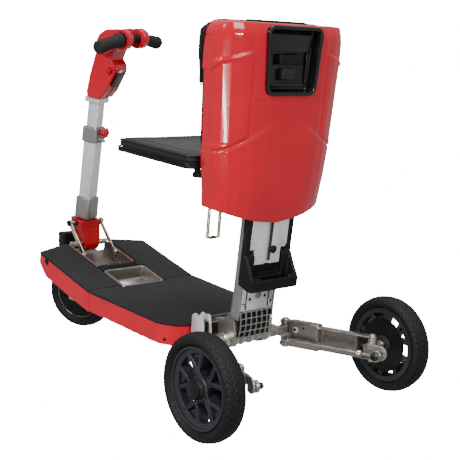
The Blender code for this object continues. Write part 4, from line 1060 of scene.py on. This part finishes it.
def build_head_controls():
    slope = math.atan2(0.023, 0.056)
    face = COLUMN @ Matrix.Translation((0.0, 0.0543, 0.241)) @ Matrix.Rotation(-slope, 4, "X")
    bm = bmesh.new()
    glass = rounded_box((-0.017, -0.018), (0.017, 0.018), 0.004, 5)
    plate(bm, glass, 0.0004, 0.0044, 0.0014, plane_xz, face)
    finish_piece("display_window", bm, "dark_glass", "upper_column", ["display_panel"])
    bm = bmesh.new()
    outer = [Vector((p.x, 0.003, p.y)) for p in inset_outline(glass, -0.0009)]
    tube_along(bm, outer, 0.0013, (0, 1, 0), True, 8, face)
    finish_piece("display_frame", bm, "black_plastic", "upper_column")
    bm = bmesh.new()
    lens = [(-0.012, 0.0195), (0.023, 0.0195), (0.024, 0.033), (-0.011, 0.033)]
    plate(bm, rounded_outline(lens, 0.005), -0.008, 0.0042, 0.0034, plane_xz, face)
    finish_piece("key_surround", bm, "red_paint", "upper_column")
    bm = bmesh.new()
    rocker = [(0.002, 0.0215), (0.018, 0.0215), (0.0175, 0.03), (0.004, 0.03)]
    plate(bm, rounded_outline(rocker, 0.003, 4), 0.0038, 0.006, 0.0012, plane_xz, face)
    finish_piece("rocker_switch", bm, "bright_aluminium", "upper_column")
    bm = bmesh.new()
    seam = [Vector((0.0, b, h)) for b, h in ((0.028, 0.188), (0.0405, 0.2066), (0.0475, 0.22))]
    tube_along(bm, [p + Vector((0, 0.0002, 0)) for p in seam], 0.0011, (1, 0, 0), False, 6, COLUMN)
    finish_piece("head_seam", bm, "bronze_aluminium", "upper_column")
    bm = bmesh.new()
    spot = COLUMN @ along((0.0305, 0.048, 0.262), (1, 0, 0))
    turned(bm, [(0.0074, 0.002), (0.0074, 0.0032), (0.0062, 0.0044), (0.002, 0.0049)], 28, spot)
    finish_piece("horn_cap", bm, "red_casting", "horn_button", ["horn_button"])
    moulded("lever_moulding", ["throttle_lever"], "black_plastic", "throttle_lever", 0.0008, 5)


# ---------------------------------------------------------------- column
def build_column():
    bm = bmesh.new()
    box_plate(bm, (-0.0235, -0.0235, -0.1365), (0.0235, 0.0235, -0.0795), 0.0075, 0.0025, COLUMN)
    ring(bm, 0.015, 0.0225, -0.08, -0.078, 32, COLUMN)
    finish_piece("steering_collar_casting", bm, "cast_aluminium", "column", ["steering_collar"])
    bm = bmesh.new()
    box_plate(bm, (-0.0184, -0.0184, -0.0792), (0.0184, 0.0184, 0.0682), 0.0038, 0.0004, COLUMN)
    finish_piece("lower_tube", bm, "bright_aluminium", "column", ["lower_column_tube"])
    moulded("clamp_moulding", ["column_clamp"], "cast_aluminium", "column", 0.001, 4)
    bm = bmesh.new()
    bolt(bm, (0, 0.0325, 0.076), (0, 1, 0), 0.004, 0.0035, 24, 0.0048, COLUMN)
    turned(bm, [(0.0022, 0.0), (0.0022, 0.0042)], 6, COLUMN @ along((0, 0.0325, 0.077), (0, 1, 0)))
    ring(bm, 0.0145, 0.0205, 0.1088, 0.1105, 32, COLUMN)
    finish_piece("clamp_bolt", bm, "zinc_steel", "column")
    bm = bmesh.new()
    box_plate(bm, (-0.0158, -0.0158, -0.015), (0.0158, 0.0158, 0.1745), 0.0032, 0.0004, COLUMN)
    box_plate(bm, (-0.0235, -0.0235, 0.1728), (0.0235, 0.0235, 0.1856), 0.005, 0.0016, COLUMN)
    for x in (-0.0175, 0.0175):
        for y in (-0.0175, 0.0175):
            bolt(bm, (x, y, 0.173), (0, 0, -1), 0.003, 0.0022, 16, 0.0, COLUMN)
    finish_piece("upper_tube", bm, "bright_aluminium", "upper_column", ["upper_column_tube"])
    bm = bmesh.new()
    spot = COLUMN @ along((0, 0.0238, 0.098), (0, 1, 0))
    for k in range(6):
        box_plate(bm, (0.002, -0.0028, 0.008), (0.014, 0.0028, 0.0158), 0.0024, 0.0014,
                  spot @ Matrix.Rotation(math.tau * k / 6, 4, "Z"))
    turned(bm, [(0.0078, 0.0), (0.0078, 0.0045), (0.0105, 0.007), (0.0118, 0.009), (0.0118, 0.014),
                (0.01, 0.0164), (0.003, 0.0168)], 36, spot)
    finish_piece("lobed_knob", bm, "red_paint", "clamp_knob", ["clamp_knob"])


def build_tiller_base():
    moulded("hinge_casting", ["tiller_base"], "red_casting", "tiller_base", 0.0012, 4)
    bm = bmesh.new()
    for x, h in ((-0.014, -0.16), (0.014, -0.16), (-0.012, -0.186), (0.012, -0.186)):
        bolt(bm, (x, 0.0275, h), (0, 1, 0), 0.003, 0.0012, 12, 0.0, TILLER)
    for sign in (1, -1):
        bolt(bm, (sign * 0.0295, 0.0, -0.15), (sign, 0, 0), 0.0085, 0.003, 24, 0.0, TILLER)
    finish_piece("casting_bolts", bm, "black_plastic", "tiller_base")
    bm = bmesh.new()
    for sign in (1, -1):
        turned(bm, [(0.0056, 0.03), (0.0056, 0.0434)], 24, TILLER @ along((0, 0, -0.15), (sign, 0, 0)))
        turned(bm, [(0.0076, 0.024), (0.0076, 0.0532), (0.006, 0.054)], 28,
               TILLER @ along(FOLD_PIN, (sign, 0, 0)))
    finish_piece("casting_pins", bm, "zinc_steel", "tiller_base")
    for side, sign in SIDES:
        bm = bmesh.new()
        top, foot = Vector((sign * 0.0465, 0, -0.15)), Vector((sign * 0.0465, 0.0805, -0.2105))
        run, out = foot - top, Vector((sign, 0, 0))
        ahead = run.normalized()
        turn = Matrix((ahead, out.cross(ahead), out)).transposed().to_4x4()
        spin = TILLER @ Matrix.Translation(top) @ turn
        bar(bm, (0.002, 0), (run.length - 0.002, 0), 0.0115, 0.0115, -0.002, 0.002, 0.0006, spin)
        for x in (0.0, run.length):
            ring(bm, 0.0035, 0.0086, -0.0025, 0.0025, 28, spin @ Matrix.Translation((x, 0, 0)))
        finish_piece(f"brace_{side}_link", bm, "zinc_steel", f"brace_{side}", [f"brace_link_{side}"])
        bm = bmesh.new()
        knob = [(0.0072, 0.0024), (0.008, 0.0034), (0.0076, 0.0064), (0.005, 0.0078), (0.001, 0.008)]
        turned(bm, knob, 24, spin)
        finish_piece(f"brace_{side}_knob", bm, "black_plastic", f"brace_{side}")
        bm = bmesh.new()
        bolt(bm, (run.length, 0, 0.0022), (0, 0, 1), 0.0052, 0.0038, 6, 0.0074, spin)
        finish_piece(f"brace_{side}_nut", bm, "zinc_steel", f"brace_{side}")


def build_nose():
    moulded("nose_light_box", ["nose_box"], "black_plastic", "front_deck", 0.0012, 5)
    bm = bmesh.new()
    low, high = at(0.0, 0.9085, 0.0), at(0.0, 0.868, 0.0)
    box_plate(bm, (-0.03, low.y, 0.2086), (0.05, high.y, 0.2112), 0.003, 0.0006, WORLD)
    finish_piece("nose_plate", bm, "bright_aluminium", "front_deck")
    bm = bmesh.new()
    glass = rounded_box((-0.018, 0.222), (0.038, 0.248), 0.004, 4)
    front = at(0.0, 0.905, 0.0).y
    plate(bm, glass, front - 0.0012, front + 0.003, 0.0006, plane_xz, WORLD)
    finish_piece("nose_lens", bm, "dark_glass", "front_deck")


def build_fork():
    moulded("fork_casting", ["front_fork"], "cast_aluminium", "front_fork", 0.0012, 3)
    bm = bmesh.new()
    for sign in (1, -1):
        bolt(bm, HUB + Vector((sign * 0.0385, 0, 0)), (sign, 0, 0), 0.009, 0.004, 6, 0.012, COLUMN)
        turned(bm, [(0.0048, 0.0), (0.0048, 0.012), (0.004, 0.0128)], 20,
               COLUMN @ along(HUB + Vector((sign * 0.0385, 0, 0)), (sign, 0, 0)))
    finish_piece("front_axle_nuts", bm, "zinc_steel", "front_fork")


# ---------------------------------------------------------------- seat post
def build_post():
    moulded("post_casting", ["seat_post"], "cast_aluminium", "seat_post", 0.0018, 3)
    bm = bmesh.new()
    box_plate(bm, (-0.0444, 0.02, -0.0125), (0.0444, 0.128, -0.0085), 0.002, 0.0008,
              POST_FACE)
    finish_piece("post_face_plate", bm, "bright_aluminium", "seat_post", ["post_plate"])
    # Dark discs where the post plate's holes are: painted shade that stands in for the insides of the holes.
    # Some of them get zinc rings below.
    bm = bmesh.new()
    face = 0.0127
    for x in (-0.031, 0.031):
        low, high = (x - 0.0016, 0.024, -face - 0.0005), (x + 0.0016, 0.124, -face + 0.001)
        box_plate(bm, low, high, 0.0006, 0.0002, POST_FACE)
    ringed = ((-0.038, 0.036), (0.038, 0.036), (-0.02, 0.05), (0.02, 0.112))
    for x, z in ringed + ((-0.02, 0.104), (0.021, 0.046), (-0.038, 0.11), (0.038, 0.108)):
        turned(bm, [(0.0036, -0.0004), (0.0036, 0.0006)], 20, POST @ along((x, face, z), (0, 1, 0)))
    finish_piece("post_plate_hole_shade", bm, "dark_glass", "seat_post")
    bm = bmesh.new()
    for x, z in ringed:
        ring(bm, 0.003, 0.0042, -0.0002, 0.0008, 20, POST @ along((x, face, z), (0, 1, 0)), 0.0002)
    finish_piece("post_plate_rings", bm, "zinc_steel", "seat_post")
    bm = bmesh.new()
    keyhole = [(-0.0085, 0.046), (0.0065, 0.046), (0.0075, 0.073), (-0.0095, 0.073)]
    plate(bm, rounded_outline(keyhole, 0.0065, 6), face - 0.001, face + 0.0005, 0.0002, plane_xz, POST)
    finish_piece("post_keyhole", bm, "bronze_aluminium", "seat_post")


def grille_point(x, h):
    """A point of the cast guard, which bows out over the hinge under the post."""
    share = (h + 0.04) / 0.06
    return Vector((x, 0.012 + 0.007 * math.sin(math.pi * (0.15 + 0.75 * share)), h))


def build_grille():
    bm = bmesh.new()
    for x in (-0.044, -0.0293, -0.0147, 0.0, 0.0147, 0.0293, 0.044):
        upright = [grille_point(x, -0.038 + 0.0575 * k / 12) for k in range(13)]
        tube_along(bm, upright, 0.0015, (1, 0, 0), False, 8, POST)
    for h in (-0.0372, -0.023, -0.0088, 0.0054, 0.0188):
        level = [grille_point(-0.0445 + 0.089 * k / 6, h) for k in range(7)]
        tube_along(bm, level, 0.0014, (0, 0, 1), False, 8, POST)
    finish_piece("cast_guard", bm, "cast_aluminium", "seat_post", ["post_grille"])
    bm = bmesh.new()
    box_plate(bm, (-0.044, -0.038, -0.0118), (0.044, 0.019, -0.01), 0.002, 0.0004,
              POST_FACE)
    finish_piece("guard_backing", bm, "black_plastic", "seat_post")


def build_rail():
    bm = bmesh.new()
    for wide, low, high in ((0.0495, 0.1615, 0.326), (0.036, 0.128, 0.162)):
        groove = [(-wide, 0.02), (wide, 0.02), (wide, 0.0262), (wide - 0.0012, 0.0272), (0.007, 0.0272),
                  (0.006, 0.0264), (0.0052, 0.0238), (-0.0052, 0.0238), (-0.006, 0.0264), (-0.007, 0.0272),
                  (-wide + 0.0012, 0.0272), (-wide, 0.0262)]
        heights = (low, low + 0.001, high - 0.001, high)
        loft(bm, [[POST @ Vector((x, y, h)) for x, y in groove] for h in heights], True, True, True)
    ridge = rounded_box((-0.048, 0.027), (-0.0064, 0.0308), 0.0012, 2)
    plate(bm, ridge, 0.1672, 0.322, 0.0004, plane_xy, POST)
    finish_piece("rail_profile", bm, "bright_aluminium", "seat_post", ["seat_rail"])
    bm = bmesh.new()
    seam = [(-0.0063, 0.0232), (-0.004, 0.0232), (-0.004, 0.029), (-0.0063, 0.029)]
    plate(bm, [Vector(p) for p in seam], 0.134, 0.32, 0.0002, plane_xy, POST)
    finish_piece("rail_seam", bm, "grey_plastic", "seat_post")
    bm = bmesh.new()
    spot = POST @ along((-0.014, 0.0275, 0.158), (0, 1, 0))
    turned(bm, [(0.007, 0.0019), (0.007, 0.0034), (0.0058, 0.0046), (0.0036, 0.0046), (0.003, 0.0036),
                (0.0008, 0.0034)], 28, spot)
    finish_piece("rail_knob", bm, "black_plastic", "rail_button", ["rail_button"])
    bm = bmesh.new()
    ring(bm, 0.0073, 0.0086, -0.0006, 0.0022, 32, spot)
    finish_piece("rail_knob_ring", bm, "grey_plastic", "seat_post")


def build_cradle():
    moulded("cradle_moulding", ["battery_cradle"], "black_plastic", "seat_post", 0.0013, 6)
    bm = bmesh.new()
    slope = [(0.03, 0.1475), (0.044, 0.128), (0.06, 0.102)]
    rim = [Vector((0.06, y, h)) for y, h in slope] + [Vector((-0.06, y, h)) for y, h in reversed(slope)]
    tube_along(bm, rim, 0.0026, (0.02, 0.1, 1), False, 10, POST)
    finish_piece("cradle_lip", bm, "black_plastic", "seat_post")
    bm = bmesh.new()
    back = rounded_box((-0.063, 0.19), (0.063, 0.246), 0.002, 2)
    plate(bm, back, 0.0152, 0.0196, 0.0006, plane_xz, POST)
    for sign in (1, -1):
        strip = rounded_box((sign * 0.057 - 0.0057, 0.196), (sign * 0.057 + 0.0057, 0.245), 0.001, 2)
        plate(bm, strip, 0.0172, 0.03, 0.001, plane_xz, POST)
    finish_piece("cradle_guides", bm, "black_plastic", "seat_post")


# ---------------------------------------------------------------- wire loop and latch lugs
def build_wire_loop():
    bm = bmesh.new()
    front = BACK_FRONT - 0.0004 - 0.0105
    x, top, low, half = 0.099, 0.047, -0.04, 0.0145
    left = [(0.5, top), (1.0, low + 0.058), (1.0, low + 0.03), (1.0, low), (0.4, low - 0.0006)]
    path = [Vector((x + half * share, front, z)) for share, z in left]
    path += [Vector((x - half * share, front, z)) for share, z in reversed(left)]
    tube_along(bm, path, 0.0038, (0, 1, 0), True, 10, BACK)
    tie = [Vector((x - half, front, 0.02)), Vector((x + half, front, 0.02))]
    tube_along(bm, tie, 0.0016, (0, 1, 0), False, 8, BACK)
    finish_piece("wire_bail", bm, "zinc_steel", "wire_loop", ["wire_loop"])


def build_latch_lugs():
    for side, sign in SIDES:
        bm = bmesh.new()
        profile = [(-0.205, 0.126), (-0.209, 0.172), (-0.213, 0.1755), (-0.22, 0.1752), (-0.225, 0.169),
                   (-0.23, 0.1752), (-0.237, 0.176), (-0.243, 0.17), (-0.247, 0.126)]
        outline = [Vector((REAR_AXLE.y + v, z)) for v, z in turned_left(profile)]
        for faces in ((0.0915, 0.0985), (0.072, 0.0775)):
            low, high = sorted(sign * face for face in faces)
            plate(bm, outline, low, high, 0.0012, plane_yz)
        finish_piece(f"latch_hooks_{side}", bm, "bright_aluminium", "rear_frame", [f"latch_lug_{side}"])
        # A black block between each lug's two hook plates: painted shade in the gap between them.
        bm = bmesh.new()
        low, high = sorted((sign * 0.078, sign * 0.0912))
        near, far = REAR_AXLE.y - 0.24, REAR_AXLE.y - 0.21
        box_plate(bm, (low, near, 0.13), (high, far, 0.16), 0.002, 0.001, WORLD)
        finish_piece(f"latch_gap_shade_{side}", bm, "black_plastic", "rear_frame")


# ---------------------------------------------------------------- rear arms
def arm_place(sign):
    """The arm's own frame at its pivot: +Y runs out along it, and +X away from the middle."""
    pivot = at(sign * 0.122, 0.185, 0.112)
    mirror = Matrix.Diagonal((sign, 1, 1, 1))
    return Matrix.Translation(pivot) @ Matrix.Rotation(math.radians(-17 * sign), 4, "Z") @ mirror


def build_arm(side, sign):
    place = arm_place(sign)
    body = f"rear_arm_{side}"
    moulded(f"arm_casting_{side}", [body], "bronze_aluminium", body, 0.0013, 3)
    # Dark discs on the arm's faces where its holes are: painted shade that stands in for the insides of the
    # holes.
    bm = bmesh.new()
    for x_side in (1, -1):
        face = 0.0131 if x_side > 0 else -0.0101
        for y, z, r in ((0.03, 0.012, 0.0036), (0.052, 0.018, 0.0026)):
            turned(bm, [(r, -0.0006), (r, 0.0004)], 24, place @ along((face, y, z), (x_side, 0, 0)))
    finish_piece(f"arm_hole_shade_{side}", bm, "dark_glass", body)
    bm = bmesh.new()
    for z_side in (1, -1):
        for y, r in ((0.0, 0.0078), (0.214, 0.0066)):
            height = 0.0296 if y == 0.0 else 0.0259
            bolt(bm, (0, y, z_side * height), (0, 0, z_side), r, 0.0028, 24, r + 0.0018, place)
    bolt(bm, (0.0131, 0.052, -0.012), (1, 0, 0), 0.0048, 0.0032, 6, 0.0066, place)
    finish_piece(f"arm_bolts_{side}", bm, "zinc_steel", body)
    bm = bmesh.new()
    turned(bm, [(0.0036, -0.0012), (0.006, -0.0004), (0.0072, 0.0)], 28,
           place @ along((-0.0104, 0.032, 0.012), (-1, 0, 0)))
    finish_piece(f"arm_eye_{side}", bm, "bright_aluminium", body)
    build_link(side, place)
    build_carrier(side, sign, place)


def build_link(side, place):
    x, z, start, end = -0.0245, -0.01, 0.02, 0.234
    bm = bmesh.new()
    spot = place @ along((x, start + 0.008, z), (0, 1, 0))
    rod = [(0.0046, 0.0), (0.0066, 0.0012), (0.0066, 0.174), (0.005, 0.1752), (0.0036, 0.1756),
           (0.0036, 0.198)]
    turned(bm, rod, 28, spot)
    turned(bm, [(0.0074, 0.164), (0.0074, 0.171), (0.0068, 0.172)], 6, spot)
    ring(bm, 0.0044, 0.0106, -0.0046, 0.0046, 32, place @ Matrix.Translation((x, start, z)), 0.0008)
    ring(bm, 0.0085, 0.0126, -0.0046, 0.0046, 40, place @ along((x, end, z), (1, 0, 0)), 0.001)
    finish_piece(f"link_with_eyes_{side}", bm, "bronze_aluminium", f"link_rod_{side}", [f"link_rod_{side}"])


def build_carrier(side, sign, place):
    body = f"wheel_carrier_{side}"
    moulded(f"carrier_casting_{side}", [body], "cast_aluminium", body, 0.001, 2)
    bm = bmesh.new()
    bolt(bm, (-0.0334, 0.234, -0.01), (-1, 0, 0), 0.0066, 0.005, 6, 0.0076, place)
    finish_piece(f"carrier_nut_{side}", bm, "black_plastic", body)
    bm = bmesh.new()
    inner = Vector((sign * 0.233, REAR_AXLE.y, REAR_TYRE_R))
    ring(bm, 0.0072, 0.0105, 0.0, 0.0022, 32, along(inner, (-sign, 0, 0)))
    ring(bm, 0.0072, 0.0092, 0.003, 0.0052, 32, along(inner, (-sign, 0, 0)))
    finish_piece(f"axle_washers_{side}", bm, "zinc_steel", body)


def build_cross_tube():
    moulded("cross_tube_casting", ["cross_tube"], "cast_aluminium", "rear_frame", 0.0014, 3)
    bm = bmesh.new()
    tube_z = 0.122
    low = at(0.0, 0.185, tube_z)
    for x, wide, r in ((-0.055, 0.016, 0.0172), (0.055, 0.016, 0.0172), (-0.012, 0.007, 0.0162),
                       (0.012, 0.007, 0.0162)):
        spot = along((x - wide / 2, low.y, tube_z), (1, 0, 0))
        turned(bm, [(r - 0.001, 0.0), (r, 0.001), (r, wide - 0.001), (r - 0.001, wide)], 36, spot)
    for x in (-0.034, 0.034):
        bolt(bm, (x, low.y + 0.0145, tube_z), (0, 1, 0), 0.0056, 0.0042, 6, 0.008)
    finish_piece("cross_tube_bands", bm, "zinc_steel", "rear_frame")


build_camera()
build_studio()
dress_frame()
build_back_shell()
build_handle_frame()
for wheel_side, wheel_sign in SIDES:
    build_rear_wheel(wheel_side, wheel_sign)
build_front_wheel()
build_mats()
build_pans()
build_front_trays()
build_deck_details()
build_seat()
build_back_pad()
build_head()
build_head_controls()
build_column()
build_tiller_base()
build_nose()
build_fork()
build_post()
build_grille()
build_rail()
build_cradle()
build_wire_loop()
build_latch_lugs()
build_cross_tube()
for arm_side, arm_sign in SIDES:
    build_arm(arm_side, arm_sign)
